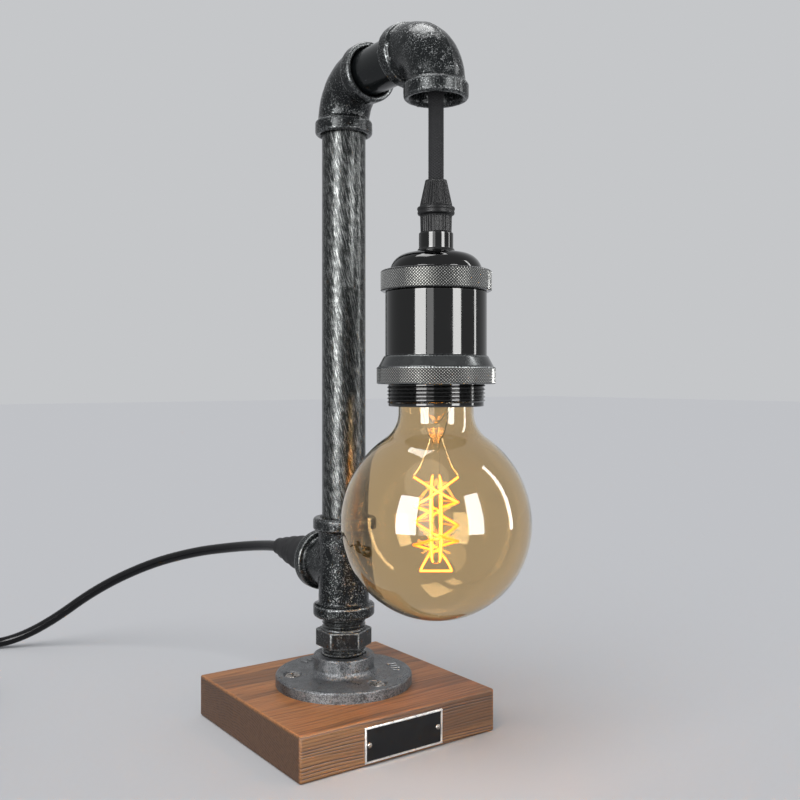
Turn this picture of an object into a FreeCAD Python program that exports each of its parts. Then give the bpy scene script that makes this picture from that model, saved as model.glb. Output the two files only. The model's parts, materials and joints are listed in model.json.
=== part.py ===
"""Industrial pipe table lamp, in millimetres: +Z up, -Y the way the arm reaches.

The origin is the middle of the wooden base's underside, on the axis of the column.
Every driving dimension is a cell of the spreadsheet "Sizes".  Each sub-part is one
object of the document, bound to those cells, and is written to parts/<Label>.step.
"""
import FreeCAD, Part
import math
import os
import re
import sys

import Sketcher
from FreeCAD import Placement, Rotation, Vector

# ---------------------------------------------------------------- driving dimensions

SIZES = {
    # wooden base and nameplate
    "BaseWidth": 106.0,
    "BaseDepth": 101.0,
    "BaseThickness": 20.0,
    "BaseCornerRadius": 3.0,
    "BaseEdgeRadius": 1.2,
    "PlateWidth": 42.5,
    "PlateHeight": 15.8,
    "PlateThickness": 0.9,
    "PlateBorder": 1.2,
    "PlateRecess": 0.3,
    "PlateCentreHeight": 9.2,
    "PlatePinSpacing": 37.4,
    "PlatePinHeadRadius": 1.25,
    "PlatePinHeadHeight": 0.8,
    "PlatePinRadius": 0.7,
    "PlatePinLength": 6.0,
    # floor flange and its screws
    "FlangeRadius": 33.2,
    "FlangeThickness": 5.2,
    "FlangeRimRadius": 1.0,
    "HubRadius": 14.8,
    "HubHeight": 14.2,
    "HubFootRadius": 3.0,
    "ScrewCount": 3,
    "ScrewCircleRadius": 25.0,
    "ScrewFirstAngle": 37.0,
    "ScrewHoleRadius": 2.4,
    "CountersinkRadius": 4.9,
    "ScrewShankRadius": 2.0,
    "ScrewHeadRadius": 4.2,
    "ScrewHeadRise": 1.4,
    "ScrewLength": 16.0,
    "ScrewPointLength": 3.0,
    # half-inch pipe, nipple and fittings
    "PipeRadius": 10.65,
    "PipeBoreRadius": 7.9,
    "ThreadPlay": 0.3,
    "ThreadEngagement": 12.0,
    "HexFlats": 23.8,
    "HexHeight": 8.2,
    "HexCornerTrim": 1.0,
    "NippleGapBelowHex": 4.2,
    "NippleGapAboveHex": 6.1,
    "TeeReach": 24.1,
    "TeeBandRadius": 15.0,
    "TeeBandWidth": 5.9,
    "TeeBodyRadius": 12.35,
    "TeeBranchStep": 0.35,
    "FittingBoreRadius": 8.6,
    "FittingEdgeRadius": 0.8,
    "ColumnVisibleLength": 186.0,
    "ElbowReach": 25.2,
    "ElbowBandRadius": 14.2,
    "ElbowBandWidth": 6.6,
    "ElbowBodyRadius": 12.85,
    "MouthChamfer": 1.3,
    "ArmLength": 74.0,
    # cable inside the pipes, and its retainer in the open mouth
    "TextileCordRadius": 3.35,
    "ArmCableBend": 12.0,
    "RetainerDepth": 7.0,
    "RetainerThickness": 4.5,
    "SwingPivotRise": 3.0,
    "SwingJointGap": 0.35,
    "SpliceRadius": 2.3,
    "SpliceLength": 18.0,
    "SpliceSpacing": 6.4,
    "SpliceRise": 12.0,
    "InnerBendRadius": 9.0,
    # strain-relief boot
    "BootSocketRadius": 10.8,
    "BootSocketDepth": 8.0,
    "BootFirstRadius": 9.2,
    "BootFirstLength": 19.5,
    "BootSecondRadius": 7.9,
    "BootSecondLength": 8.0,
    "BootThirdRadius": 6.3,
    "BootThirdLength": 8.0,
    "BootTipRadius": 4.8,
    "BootTipLength": 7.2,
    "BootStepTaper": 0.6,
    "MainsCordRadius": 2.9,
    # pendant: cord grip and collar
    "CordDrop": 34.2,
    "GripTopRadius": 4.6,
    "GripConeRadius": 6.9,
    "GripConeLength": 10.9,
    "GripFlareRadius": 8.1,
    "GripFlareLength": 4.2,
    "GripBodyRadius": 6.7,
    "GripBodyLength": 7.3,
    "CollarRadius": 7.35,
    "CollarLength": 7.2,
    "CollarSpigotRadius": 5.0,
    "CollarSpigotLength": 4.0,
    "CollarBoreRadius": 3.2,
    # pendant: socket
    "SocketWall": 1.0,
    "CapTopRadius": 10.2,
    "CapBaseRadius": 19.8,
    "CapHeight": 8.9,
    "CapRingRadius": 23.7,
    "CapRingHeight": 9.0,
    "RingEdgeRadius": 0.9,
    "ShellRadius": 21.6,
    "ShellLength": 27.2,
    "ShadeConeHeight": 4.9,
    "ShadeRingRadius": 25.4,
    "ShadeRingHeight": 7.1,
    "ShadeRingStep": 0.4,
    "SleeveRadius": 21.0,
    "SleeveThreadLength": 9.3,
    "SleeveWall": 3.0,
    "SleeveSpigotLength": 8.0,
    "SlideClearance": 0.3,
    "InsertRadius": 16.6,
    "InsertSeatHeight": 4.0,
    "InsertAboveSleeveEnd": 8.0,
    "ScrewShellWall": 0.6,
    "ScrewShellPlay": 0.4,
    "CentreContactRadius": 5.0,
    "CentreContactHeight": 2.2,
    "TerminalScrewRadius": 2.2,
    "TerminalScrewHeight": 2.4,
    "TerminalScrewSpacing": 17.0,
    "CoreWireRadius": 1.1,
    # bulb
    "BulbRadius": 40.5,
    "BulbShoulderOffset": 4.0,
    "BulbNeckRadius": 16.0,
    "BulbFlareRadius": 13.0,
    "BulbCentreBelowSleeve": 49.9,
    "BulbNeckAboveSleeve": 4.0,
    "BulbNeckTaper": 2.5,
    "GlassWall": 0.9,
    "GlassSpigotRadius": 11.4,
    "GlassSpigotLength": 5.0,
    "CapScrewRadius": 13.1,
    "CapThreadDepth": 0.9,
    "CapThreadPitch": 3.63,
    "CapThreadTurns": 5,
    "CapWall": 0.5,
    "CapScrewHeight": 22.0,
    "CapInsulatorHeight": 4.0,
    "CapInsulatorTopRadius": 5.0,
    "TipContactRadius": 4.0,
    "TipContactHeight": 2.0,
    "StemMiddleRadius": 7.5,
    "StemTipRadius": 3.6,
    "StemLength": 20.0,
    "HubRodRadius": 1.5,
    "HubRodEndDepth": 70.0,
    "BulbTurn": 35.4,
    "FilamentTopDepth": 34.3,
    "FilamentLeadDrop": 10.0,
    "FilamentSteps": 12,
    "FilamentPitch": 7.4,
    "FilamentRadius": 9.4,
    "FilamentFootDepth": 74.3,
    "FilamentFootRadius": 7.0,
    "FilamentWireRadius": 0.4,
    "SupportWireRadius": 0.3,
    # in-line rocker switch
    "SwitchLength": 62.0,
    "SwitchWidth": 25.0,
    "SwitchHeight": 17.0,
    "SwitchCordHeight": 8.0,
    "SwitchEndWidth": 13.0,
    "SwitchTaper": 11.0,
    "SwitchWall": 1.8,
    "SwitchEdgeRadius": 1.6,
    "SwitchCavityLength": 28.0,
    "SwitchScrewRadius": 1.2,
    "SwitchScrewHeadRadius": 2.2,
    "SwitchScrewHeadHeight": 1.4,
    "SwitchScrewRecess": 2.0,
    "SwitchScrewLength": 13.0,
    "SwitchScrewAcross": 8.0,
    "SwitchScrewAlong": 17.5,
    "SwitchContactWidth": 4.0,
    "SwitchContactLength": 7.0,
    "SwitchContactHeight": 5.5,
    "SwitchContactSpacing": 16.0,
    "RockerLength": 20.0,
    "RockerWidth": 12.0,
    "RockerRise": 4.7,
    "RockerDepth": 2.6,
    "RockerTilt": 8.0,
    "RockerPlay": 0.4,
    "RockerEndPlay": 0.9,
    "RockerPivotDepth": 3.6,
    "TrunnionRadius": 1.2,
    "TrunnionLength": 1.6,
    "TrunnionPlay": 0.1,
    "LugThickness": 1.6,
    "LugWidth": 5.2,
    "LugReach": 2.4,
    # plug
    "PlugLength": 36.0,
    "PlugWidth": 34.0,
    "PlugHeight": 13.7,
    "PlugBackWidth": 16.0,
    "PlugShoulderLength": 12.0,
    "PlugEdgeRadius": 2.0,
    "PlugNeckRadius": 4.6,
    "PlugNeckLength": 12.0,
    "PlugPinRadius": 2.0,
    "PlugPinLength": 19.0,
    "PlugPinSpacing": 19.0,
    "PlugPinRoot": 8.0,
    "PlugPinRootRadius": 1.6,
    # coil of spare cord
    "CoilMeanRadius": 31.8,
    "CoilBundleWidth": 24.8,
    "CoilBundleHeight": 11.8,
}

# ------------------------------------------------------------ document and its helpers

doc = FreeCAD.newDocument("PipeLamp")
sheet = doc.addObject("Spreadsheet::Sheet", "Sizes")
for row, (alias, size) in enumerate(SIZES.items(), start=1):
    sheet.set(f"A{row}", alias)
    sheet.set(f"B{row}", str(size))
    sheet.setAlias(f"B{row}", alias)
doc.recompute()

NODES = []  # every sub-part, in the order it is made


def cell(formula):
    """The formula with each size's name turned into a reference to its cell."""
    return re.sub(r"[A-Z]\w+", lambda word: "Sizes." + word[0], formula)


def size(alias):
    """The number that a cell holds."""
    return float(sheet.get(alias))


def bind(target, **formulas):
    """Drive properties of an object by formulas."""
    for name, formula in formulas.items():
        target.setExpression(name, cell(formula))


def place(target, x="0", y="0", z="0", turn=None):
    """Seat a sub-part at a point given by formulas, turned by a fixed rotation."""
    if turn:
        target.Placement = Placement(Vector(), turn)
    for name, formula in (("x", x), ("y", y), ("z", z)):
        target.setExpression("Placement.Base." + name, cell(formula))


def node(target):
    """Count an object among the sub-parts that are written out."""
    NODES.append(target)
    return target


def new_body(label, is_node=True):
    """An empty PartDesign body with its own label."""
    body = doc.addObject("PartDesign::Body", label)
    return node(body) if is_node else body


def new_sketch(body, role, lift="0"):
    """A sketch on one of the body's origin planes, lifted along the plane's normal."""
    sketch = body.newObject("Sketcher::SketchObject", "Sketch")
    plane = next(item for item in body.Origin.OriginFeatures if item.Role == role)
    sketch.AttachmentSupport = [(plane, "")]
    sketch.MapMode = "FlatFace"
    sketch.setExpression("AttachmentOffset.Base.z", cell(lift))
    return sketch


def hold_point(sketch, item, end, across, up):
    """Fix a point of a sketch by a formula for each of its coordinates."""
    for kind, formula in (("DistanceX", across), ("DistanceY", up)):
        held = sketch.addConstraint(Sketcher.Constraint(kind, -1, 1, item, end, 1.0))
        sketch.setExpression(f"Constraints[{held}]", cell(formula))


def draw_outline(sketch, corners):
    """Add a closed outline of straight edges; each corner is two formulas."""
    count = len(corners)
    first = sketch.GeometryCount
    rough = [
        Vector(math.cos(2 * math.pi * k / count), math.sin(2 * math.pi * k / count), 0)
        for k in range(count)
    ]
    for k in range(count):
        sketch.addGeometry(Part.LineSegment(rough[k], rough[(k + 1) % count]), False)
    for k in range(count):
        joint = (first + k, 2, first + (k + 1) % count, 1)
        sketch.addConstraint(Sketcher.Constraint("Coincident", *joint))
        hold_point(sketch, first + k, 1, *corners[k])
    return sketch


def draw_circle(sketch, radius, across="0", up="0"):
    """Add a circle whose radius and centre are formulas."""
    rim = Part.Circle(Vector(), Vector(0, 0, 1), 1.0)
    item = sketch.addGeometry(rim, False)
    held = sketch.addConstraint(Sketcher.Constraint("Radius", item, 1.0))
    sketch.setExpression(f"Constraints[{held}]", cell(radius))
    hold_point(sketch, item, 3, across, up)
    return sketch


def draw_rectangle(sketch, width, height, across="0", up="0"):
    """Add a rectangle about a centre."""
    left, right = f"{across} - ({width}) / 2", f"{across} + ({width}) / 2"
    low, high = f"{up} - ({height}) / 2", f"{up} + ({height}) / 2"
    return draw_outline(sketch, [(left, low), (right, low), (right, high), (left, high)])


def draw_axis(sketch, across, up, along):
    """Add a construction line through a point, to turn about; along is (x, y)."""
    line = Part.LineSegment(Vector(), Vector(*along, 0))
    item = sketch.addGeometry(line, True)
    hold_point(sketch, item, 1, across, up)
    hold_point(sketch, item, 2, f"{across} + {along[0]}", f"{up} + {along[1]}")
    return sketch


def feature(body, kind, sketch, **settings):
    """A PartDesign feature made from a sketch."""
    made = body.newObject("PartDesign::" + kind, kind)
    made.Profile = (sketch, [""])
    for name, value in settings.items():
        setattr(made, name, value)
    sketch.Visibility = False
    return made


def turn_outline(body, corners, role="XZ_Plane", axis="V_Axis", kind="Revolution"):
    """Revolve (or, as a Groove, cut) an outline a full turn about a sketch axis."""
    sketch = draw_outline(new_sketch(body, role), corners)
    return feature(body, kind, sketch, ReferenceAxis=(sketch, [axis]), Angle=360.0)


def turned_body(label, corners, **options):
    """A sub-part turned from one outline of (radius, height) corners."""
    body = new_body(label)
    turn_outline(body, corners, **options)
    return body


def tube_outline(inner, outer, low, high):
    """The outline of a plain ring or tube."""
    return [(inner, low), (outer, low), (outer, high), (inner, high)]


def extrude(body, sketch, length, kind="Pad", **settings):
    """Pad or pocket a sketch by a length formula."""
    made = feature(body, kind, sketch, **settings)
    bind(made, Length=length)
    return made


def dress(body, kind, size_name, amount, test):
    """Fillet or chamfer the body's edges that pass a test."""
    doc.recompute()
    base = body.Tip
    edges = enumerate(base.Shape.Edges, start=1)
    names = [f"Edge{k}" for k, edge in edges if test(edge)]
    made = body.newObject("PartDesign::" + kind, kind)
    made.Base = (base, names)
    bind(made, **{size_name: amount})
    return made


def fillet(body, radius, test):
    """Round the edges that pass a test."""
    return dress(body, "Fillet", "Radius", radius, test)


def chamfer(body, width, test):
    """Bevel the edges that pass a test."""
    return dress(body, "Chamfer", "Size", width, test)


def repeat_round(body, original, count, axis_role="Z_Axis"):
    """Repeat a feature evenly about one of the body's origin axes."""
    axis = next(item for item in body.Origin.OriginFeatures if item.Role == axis_role)
    pattern = body.newObject("PartDesign::PolarPattern", "PolarPattern")
    pattern.Originals = [original]
    pattern.Axis = (axis, [""])
    pattern.Angle = 360.0
    bind(pattern, Occurrences=count)
    body.Tip = pattern
    return pattern


def copies(label, template, seats):
    """One node that holds a copy of a template at each seat (x, y, z formulas)."""
    links = []
    for seat in seats:
        link = doc.addObject("App::Link", label + "_copy")
        link.LinkedObject = template
        link.Placement.Rotation = template.Placement.Rotation
        for name, formula in zip("xyz", seat):
            link.setExpression("Placement.Base." + name, cell(formula))
        links.append(link)
    group = doc.addObject("Part::Compound", label)
    group.Links = links
    return node(group)


def shaped(label, shape):
    """A sub-part whose shape is worked out by Part's own functions."""
    made = doc.addObject("Part::Feature", label)
    made.Shape = shape
    return node(made)


def round_edge(radius, height=None):
    """A test for round edges of one radius and, if it is given, at one height."""

    def test(edge):
        curve = edge.Curve
        if not isinstance(curve, Part.Circle) or abs(curve.Radius - radius) > 1e-4:
            return False
        return height is None or abs(curve.Center.z - height) < 1e-4

    return test


def upright_edge(edge):
    """A test for straight edges that run along Z."""
    if not isinstance(edge.Curve, Part.Line):
        return False
    return abs(edge.tangentAt(edge.FirstParameter).z) > 0.999


def cylinder(label, radius, length, **seat):
    """A round bar that stands on its seat."""
    bar = node(doc.addObject("Part::Cylinder", label))
    bind(bar, Radius=radius, Height=length)
    place(bar, **seat)
    return bar

# ----------------------------------------------------------------- levels of the stack

THREAD_BORE = "(PipeRadius + ThreadPlay)"
HUB_TOP = "BaseThickness + HubHeight"
HEX_BOTTOM = HUB_TOP + " + NippleGapBelowHex"
TEE_HEIGHT = HEX_BOTTOM + " + HexHeight + NippleGapAboveHex + TeeReach"
MOUTH_HEIGHT = TEE_HEIGHT + " + TeeReach + ColumnVisibleLength"
ARM_HEIGHT = MOUTH_HEIGHT + " + ElbowReach"
PIVOT_HEIGHT = MOUTH_HEIGHT + " + SwingPivotRise"
GRIP_TOP = MOUTH_HEIGHT + " - CordDrop"
GRIP_LENGTH = "GripConeLength + GripFlareLength + GripBodyLength"
COLLAR_TOP = GRIP_TOP + f" - ({GRIP_LENGTH})"
CAP_TOP = COLLAR_TOP + " - CollarLength"
CAP_RING_TOP = CAP_TOP + " - CapHeight"
SHELL_TOP = CAP_RING_TOP + " - CapRingHeight"
SHELL_BOTTOM = SHELL_TOP + " - ShellLength"
SHADE_RING_LENGTH = "ShadeConeHeight + ShadeRingHeight"
SLEEVE_LENGTH = f"{SHADE_RING_LENGTH} + SleeveThreadLength"
SLEEVE_END = SHELL_BOTTOM + f" - ({SLEEVE_LENGTH})"
NECK_TOP = SLEEVE_END + " + BulbNeckAboveSleeve"
PENDANT_Y = "-ArmLength"


# ------------------------------------------------------------- wooden base and nameplate


def make_base():
    """A block of softwood with pilot holes for the flange screws and plate pins."""
    body = new_body("wooden_base")
    extrude(body, draw_rectangle(new_sketch(body, "XY_Plane"), "BaseWidth", "BaseDepth"), "BaseThickness")
    fillet(body, "BaseCornerRadius", upright_edge)
    top = size("BaseThickness")
    fillet(body, "BaseEdgeRadius", lambda edge: edge.BoundBox.ZMin > top - 1e-4)
    pilot = new_sketch(body, "XY_Plane", "BaseThickness")
    across = "ScrewCircleRadius * cos(ScrewFirstAngle)"
    up = "ScrewCircleRadius * sin(ScrewFirstAngle)"
    draw_circle(pilot, "ScrewShankRadius", across, up)
    hole = extrude(body, pilot, "ScrewLength - FlangeThickness", "Pocket")
    repeat_round(body, hole, "ScrewCount")
    pins = new_sketch(body, "XZ_Plane", "BaseDepth / 2")
    for side in ("-", ""):
        draw_circle(pins, "PlatePinRadius", side + "PlatePinSpacing / 2", "PlateCentreHeight")
    extrude(body, pins, "PlatePinLength - PlateThickness", "Pocket")


def make_nameplate():
    """A bare plate with a raised border, pinned to the middle of the front face."""
    body = new_body("nameplate")
    plate = draw_rectangle(new_sketch(body, "XZ_Plane"), "PlateWidth", "PlateHeight")
    extrude(body, plate, "PlateThickness")
    field = new_sketch(body, "XZ_Plane", "PlateThickness")
    inner = "PlateWidth - 2 * PlateBorder", "PlateHeight - 2 * PlateBorder"
    extrude(body, draw_rectangle(field, *inner), "PlateRecess", "Pocket")
    holes = new_sketch(body, "XZ_Plane", "PlateThickness")
    for side in ("-", ""):
        draw_circle(holes, "PlatePinRadius", side + "PlatePinSpacing / 2")
    extrude(body, holes, "PlateThickness", "Pocket")
    place(body, y="-BaseDepth / 2", z="PlateCentreHeight")


def make_nameplate_pins():
    """Two round-headed drive pins."""
    pin = new_body("pin_template", is_node=False)
    head = "-(PlateThickness - PlateRecess)"
    turn_outline(
        pin,
        [
            ("0", f"{head} - PlatePinHeadHeight"),
            ("PlatePinHeadRadius", f"{head} - PlatePinHeadHeight"),
            ("PlatePinHeadRadius", head),
            ("PlatePinRadius", head),
            ("PlatePinRadius", f"{head} + PlatePinLength - PlateRecess"),
            ("0", f"{head} + PlatePinLength - PlateRecess"),
        ],
        role="XY_Plane",
    )
    crown = round_edge(size("PlatePinHeadRadius"))
    front = -size("PlateThickness") + size("PlateRecess") - size("PlatePinHeadHeight")
    fillet(
        pin,
        "PlatePinHeadHeight * 0.9",
        lambda edge: crown(edge) and abs(edge.Curve.Center.y - front) < 1e-4,
    )
    seats = [
        (side + "PlatePinSpacing / 2", "-BaseDepth / 2", "PlateCentreHeight")
        for side in ("-", "")
    ]
    copies("nameplate_pins", pin, seats)


# -------------------------------------------------------- floor flange, screws and nipple


def make_flange():
    """A cast floor flange: a round plate with a threaded hub and countersunk holes."""
    body = turned_body(
        "floor_flange",
        [
            (THREAD_BORE, "0"),
            ("FlangeRadius", "0"),
            ("FlangeRadius", "FlangeThickness"),
            ("HubRadius", "FlangeThickness"),
            ("HubRadius", "HubHeight"),
            (THREAD_BORE, "HubHeight"),
        ],
    )
    plate_top = size("FlangeThickness")
    fillet(body, "HubFootRadius", round_edge(size("HubRadius"), plate_top))
    fillet(body, "FlangeRimRadius", round_edge(size("FlangeRadius"), plate_top))
    fillet(body, "FittingEdgeRadius", round_edge(size("HubRadius"), size("HubHeight")))
    drilled = new_sketch(body, "XY_Plane", "FlangeThickness")
    across = "ScrewCircleRadius * cos(ScrewFirstAngle)"
    up = "ScrewCircleRadius * sin(ScrewFirstAngle)"
    draw_circle(drilled, "ScrewHoleRadius", across, up)
    hole = extrude(body, drilled, "FlangeThickness", "Pocket")
    repeat_round(body, hole, "ScrewCount")
    mouth = round_edge(size("ScrewHoleRadius"), plate_top)
    chamfer(body, "CountersinkRadius - ScrewHoleRadius", mouth)
    place(body, z="BaseThickness")


def make_flange_screws():
    """Wood screws with raised heads, seated in the flange's countersinks."""
    screw = new_body("screw_template", is_node=False)
    rim = "ScrewHeadRadius - CountersinkRadius"
    turn_outline(
        screw,
        [
            ("0", f"{rim} + ScrewHeadRise"),
            ("ScrewHeadRadius", f"{rim} + ScrewHeadRise"),
            ("ScrewHeadRadius", rim),
            ("ScrewShankRadius", "ScrewShankRadius - CountersinkRadius"),
            ("ScrewShankRadius", "ScrewPointLength - ScrewLength"),
            ("0", "-ScrewLength"),
        ],
    )
    crown_height = size("ScrewHeadRadius") - size("CountersinkRadius") + size("ScrewHeadRise")
    fillet(screw, "ScrewHeadRise * 0.9", round_edge(size("ScrewHeadRadius"), crown_height))
    seats = []
    for k in range(round(size("ScrewCount"))):
        angle = f"(ScrewFirstAngle + {k} * 360 / ScrewCount)"
        across = f"ScrewCircleRadius * cos{angle}"
        along = f"ScrewCircleRadius * sin{angle}"
        seats.append((across, along, "BaseThickness + FlangeThickness"))
    copies("flange_screws", screw, seats)


def make_hex_nipple():
    """A hexagon nipple that joins the flange to the tee, bored through."""
    body = new_body("hex_nipple")
    low = "-(NippleGapBelowHex + ThreadEngagement)"
    high = "HexHeight + NippleGapAboveHex + ThreadEngagement"
    turn_outline(body, tube_outline("PipeBoreRadius", "PipeRadius", low, high))
    corner = "HexFlats / sqrt(3)"
    corners = [
        ("0", corner),
        ("-HexFlats / 2", f"{corner} / 2"),
        ("-HexFlats / 2", f"-{corner} / 2"),
        ("0", f"-{corner}"),
        ("HexFlats / 2", f"-{corner} / 2"),
        ("HexFlats / 2", f"{corner} / 2"),
    ]
    hexagon = draw_outline(new_sketch(body, "XY_Plane"), corners)
    draw_circle(hexagon, "PipeRadius - ThreadPlay")
    extrude(body, hexagon, "HexHeight")
    slope = f"(HexFlats / 2) * HexCornerTrim / ({corner} - HexFlats / 2)"
    for end, inward in (("0", "+"), ("HexHeight", "-")):
        trim = [("HexFlats / 2", end), ("HexFlats", end), ("HexFlats", f"{end} {inward} {slope}")]
        turn_outline(body, trim, kind="Groove")
    place(body, z=HEX_BOTTOM)


# ------------------------------------------------------------------- tee, pipes and elbows


def make_tee():
    """A cast tee with a banded rim at each of its three threaded mouths."""
    body = new_body("pipe_tee")
    band_edge = "TeeReach - TeeBandWidth"
    shoulder = "TeeReach - ThreadEngagement"
    run = [
        ("0", "-TeeReach"),
        ("TeeBandRadius", "-TeeReach"),
        ("TeeBandRadius", f"-({band_edge})"),
        ("TeeBodyRadius", f"-({band_edge})"),
        ("TeeBodyRadius", band_edge),
        ("TeeBandRadius", band_edge),
        ("TeeBandRadius", "TeeReach"),
        ("0", "TeeReach"),
    ]
    turn_outline(body, run)
    branch_radius = "TeeBodyRadius - TeeBranchStep"
    branch = [
        ("0", "0"),
        ("TeeReach", "0"),
        ("TeeReach", "TeeBandRadius"),
        (band_edge, "TeeBandRadius"),
        (band_edge, branch_radius),
        ("0", branch_radius),
    ]
    turn_outline(body, branch, role="YZ_Plane", axis="H_Axis")
    fillet(body, "FittingEdgeRadius", round_edge(size("TeeBandRadius")))
    run_bore = [
        ("0", "-TeeReach"),
        (THREAD_BORE, "-TeeReach"),
        (THREAD_BORE, f"-({shoulder})"),
        ("FittingBoreRadius", f"-({shoulder})"),
        ("FittingBoreRadius", shoulder),
        (THREAD_BORE, shoulder),
        (THREAD_BORE, "TeeReach"),
        ("0", "TeeReach"),
    ]
    turn_outline(body, run_bore, kind="Groove")
    branch_bore_radius = "FittingBoreRadius - TeeBranchStep"
    branch_bore = [
        ("0", "0"),
        ("TeeReach", "0"),
        ("TeeReach", THREAD_BORE),
        (shoulder, THREAD_BORE),
        (shoulder, branch_bore_radius),
        ("0", branch_bore_radius),
    ]
    turn_outline(body, branch_bore, role="YZ_Plane", axis="H_Axis", kind="Groove")
    place(body, z=TEE_HEIGHT)


def make_column():
    """The upright pipe, screwed into the tee and standing clear inside the elbow."""
    length = "ColumnVisibleLength + 2 * ThreadEngagement - ThreadPlay"
    pipe = turned_body("column_pipe", tube_outline("PipeBoreRadius", "PipeRadius", "0", length))
    place(pipe, z=TEE_HEIGHT + " + TeeReach - ThreadEngagement")


def bend_quarter(body, radius, bend, kind):
    """Turn a circle a quarter about a level line, from pointing up to pointing to -Y."""
    sketch = new_sketch(body, "XY_Plane", f"-{bend}")
    draw_circle(sketch, radius)
    draw_axis(sketch, "0", f"-{bend}", (1, 0))
    return feature(body, kind, sketch, ReferenceAxis=(sketch, ["Axis0"]), Angle=90.0)


def elbow_end(body, outline, kind):
    """Turn (radius, distance) corners about both legs of an elbow."""
    turn_outline(body, [(r, f"-({d})") for r, d in outline], kind=kind)
    level_leg = [(f"-({d})", r) for r, d in outline]
    turn_outline(body, level_leg, role="YZ_Plane", axis="H_Axis", kind=kind)


def make_elbow(label, **seat):
    """A cast quarter bend; its legs meet at the origin, one down and one to -Y."""
    body = new_body(label)
    bend = "(ElbowReach - ElbowBandWidth)"
    bend_quarter(body, "ElbowBodyRadius", bend, "Revolution")
    elbow_end(body, tube_outline("0", "ElbowBandRadius", bend, "ElbowReach"), "Revolution")
    fillet(body, "FittingEdgeRadius", round_edge(size("ElbowBandRadius")))
    bend_quarter(body, "FittingBoreRadius", bend, "Groove")
    shoulder = "ElbowReach - ThreadEngagement"
    elbow_end(body, tube_outline("0", THREAD_BORE, shoulder, "ElbowReach"), "Groove")
    place(body, **seat)
    return body


def make_arm():
    """Two elbows joined by a short pipe nipple."""
    make_elbow("column_elbow", z=ARM_HEIGHT)
    inset = "(ElbowReach - ThreadEngagement)"
    nipple = turned_body(
        "arm_nipple",
        [
            (f"-{inset}", "PipeBoreRadius"),
            (f"-{inset}", "PipeRadius"),
            (f"{inset} - ArmLength", "PipeRadius"),
            (f"{inset} - ArmLength", "PipeBoreRadius"),
        ],
        role="YZ_Plane",
        axis="H_Axis",
    )
    place(nipple, z=ARM_HEIGHT)
    about = Rotation(Vector(0, 0, 1), 180)
    make_elbow("drop_elbow", y=PENDANT_Y, z=ARM_HEIGHT, turn=about)
    retainer = tube_outline("TextileCordRadius", THREAD_BORE, "0", "RetainerThickness")
    place(turned_body("cord_retainer", retainer), y=PENDANT_Y, z=MOUTH_HEIGHT + " + RetainerDepth")


# ------------------------------------------------------------------------------- cords


def path_through(points, bend_radius=None):
    """Straight runs joined by tangent arcs, as a wire, and its smallest radius.

    Without a bend radius each arc is as large as the shorter of its runs allows.
    """
    edges = []
    start = points[0]
    tightest = math.inf
    for before, corner, after in zip(points, points[1:], points[2:]):
        shorter = min((corner - before).Length, (after - corner).Length)
        arriving = (corner - before).normalize()
        leaving = (after - corner).normalize()
        half_turn = arriving.getAngle(leaving) / 2
        radius = bend_radius or 0.45 * shorter / math.tan(half_turn)
        trim = radius * math.tan(half_turn)
        tightest = min(tightest, radius)
        inward = (leaving - arriving).normalize()
        middle = corner + inward * (radius / math.cos(half_turn) - radius)
        enters, leaves = corner - arriving * trim, corner + leaving * trim
        edges.append(Part.LineSegment(start, enters).toShape())
        edges.append(Part.Arc(enters, middle, leaves).toShape())
        start = leaves
    edges.append(Part.LineSegment(start, points[-1]).toShape())
    return Part.Wire(edges), tightest


def cable(points, radius, bend_radius=None):
    """A round cable along a path, checked against its section times its length."""
    path, tightest = path_through(points, bend_radius)
    section = Part.Wire(Part.Circle(points[0], points[1] - points[0], radius).toShape())
    solid = path.makePipeShell([section], True, False)
    expected = math.pi * radius**2 * path.Length
    if abs(solid.Volume / expected - 1) > 0.01:
        sys.exit(f"a cable's volume is {solid.Volume:.1f} and not {expected:.1f}")
    print(f"cable: length {path.Length:.1f}, smallest radius {tightest:.1f}")
    return solid


def seat_of(label):
    """Where a sub-part that is already placed has its own origin."""
    doc.recompute()
    return doc.getObject(label).Placement.Base


def make_inner_cables():
    """The supply inside the pipes: mains cord, two splices and the textile cable."""
    tee = seat_of("pipe_tee")
    mouth = seat_of("column_elbow").z - size("ElbowReach")
    arm = size("ArmLength")
    splice_base = tee + Vector(0, 0, size("SpliceRise"))
    boot_tip = tee + Vector(0, boot_tip_reach(), 0)
    legs = [boot_tip, tee, splice_base]
    shaped("inner_mains_cord", cable(legs, size("MainsCordRadius"), size("InnerBendRadius")))
    splice = doc.addObject("Part::Cylinder", "splice_template")
    bind(splice, Radius="SpliceRadius", Height="SpliceLength")
    base_height = TEE_HEIGHT + " + SpliceRise"
    copies("wire_splices", splice, [(s + "SpliceSpacing / 2", "0", base_height) for s in ("-", "")])
    riser_length = "TeeReach + ColumnVisibleLength - SpliceRise - SpliceLength"
    cylinder("riser_cable", "TextileCordRadius", riser_length, z=base_height + " + SpliceLength")
    gap = size("SwingJointGap")
    low_end = mouth + size("SwingPivotRise") + size("TextileCordRadius") + gap
    legs = [
        Vector(0, 0, mouth + gap),
        Vector(0, 0, mouth + size("ElbowReach")),
        Vector(0, -arm, mouth + size("ElbowReach")),
        Vector(0, -arm, low_end),
    ]
    shaped("arm_cable", cable(legs, size("TextileCordRadius"), size("ArmCableBend")))


def boot_tip_reach():
    """How far the boot's tip stands out from the column's axis."""
    tiers = ("First", "Second", "Third", "Tip")
    return size("TeeReach") + sum(size(f"Boot{tier}Length") for tier in tiers)


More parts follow.
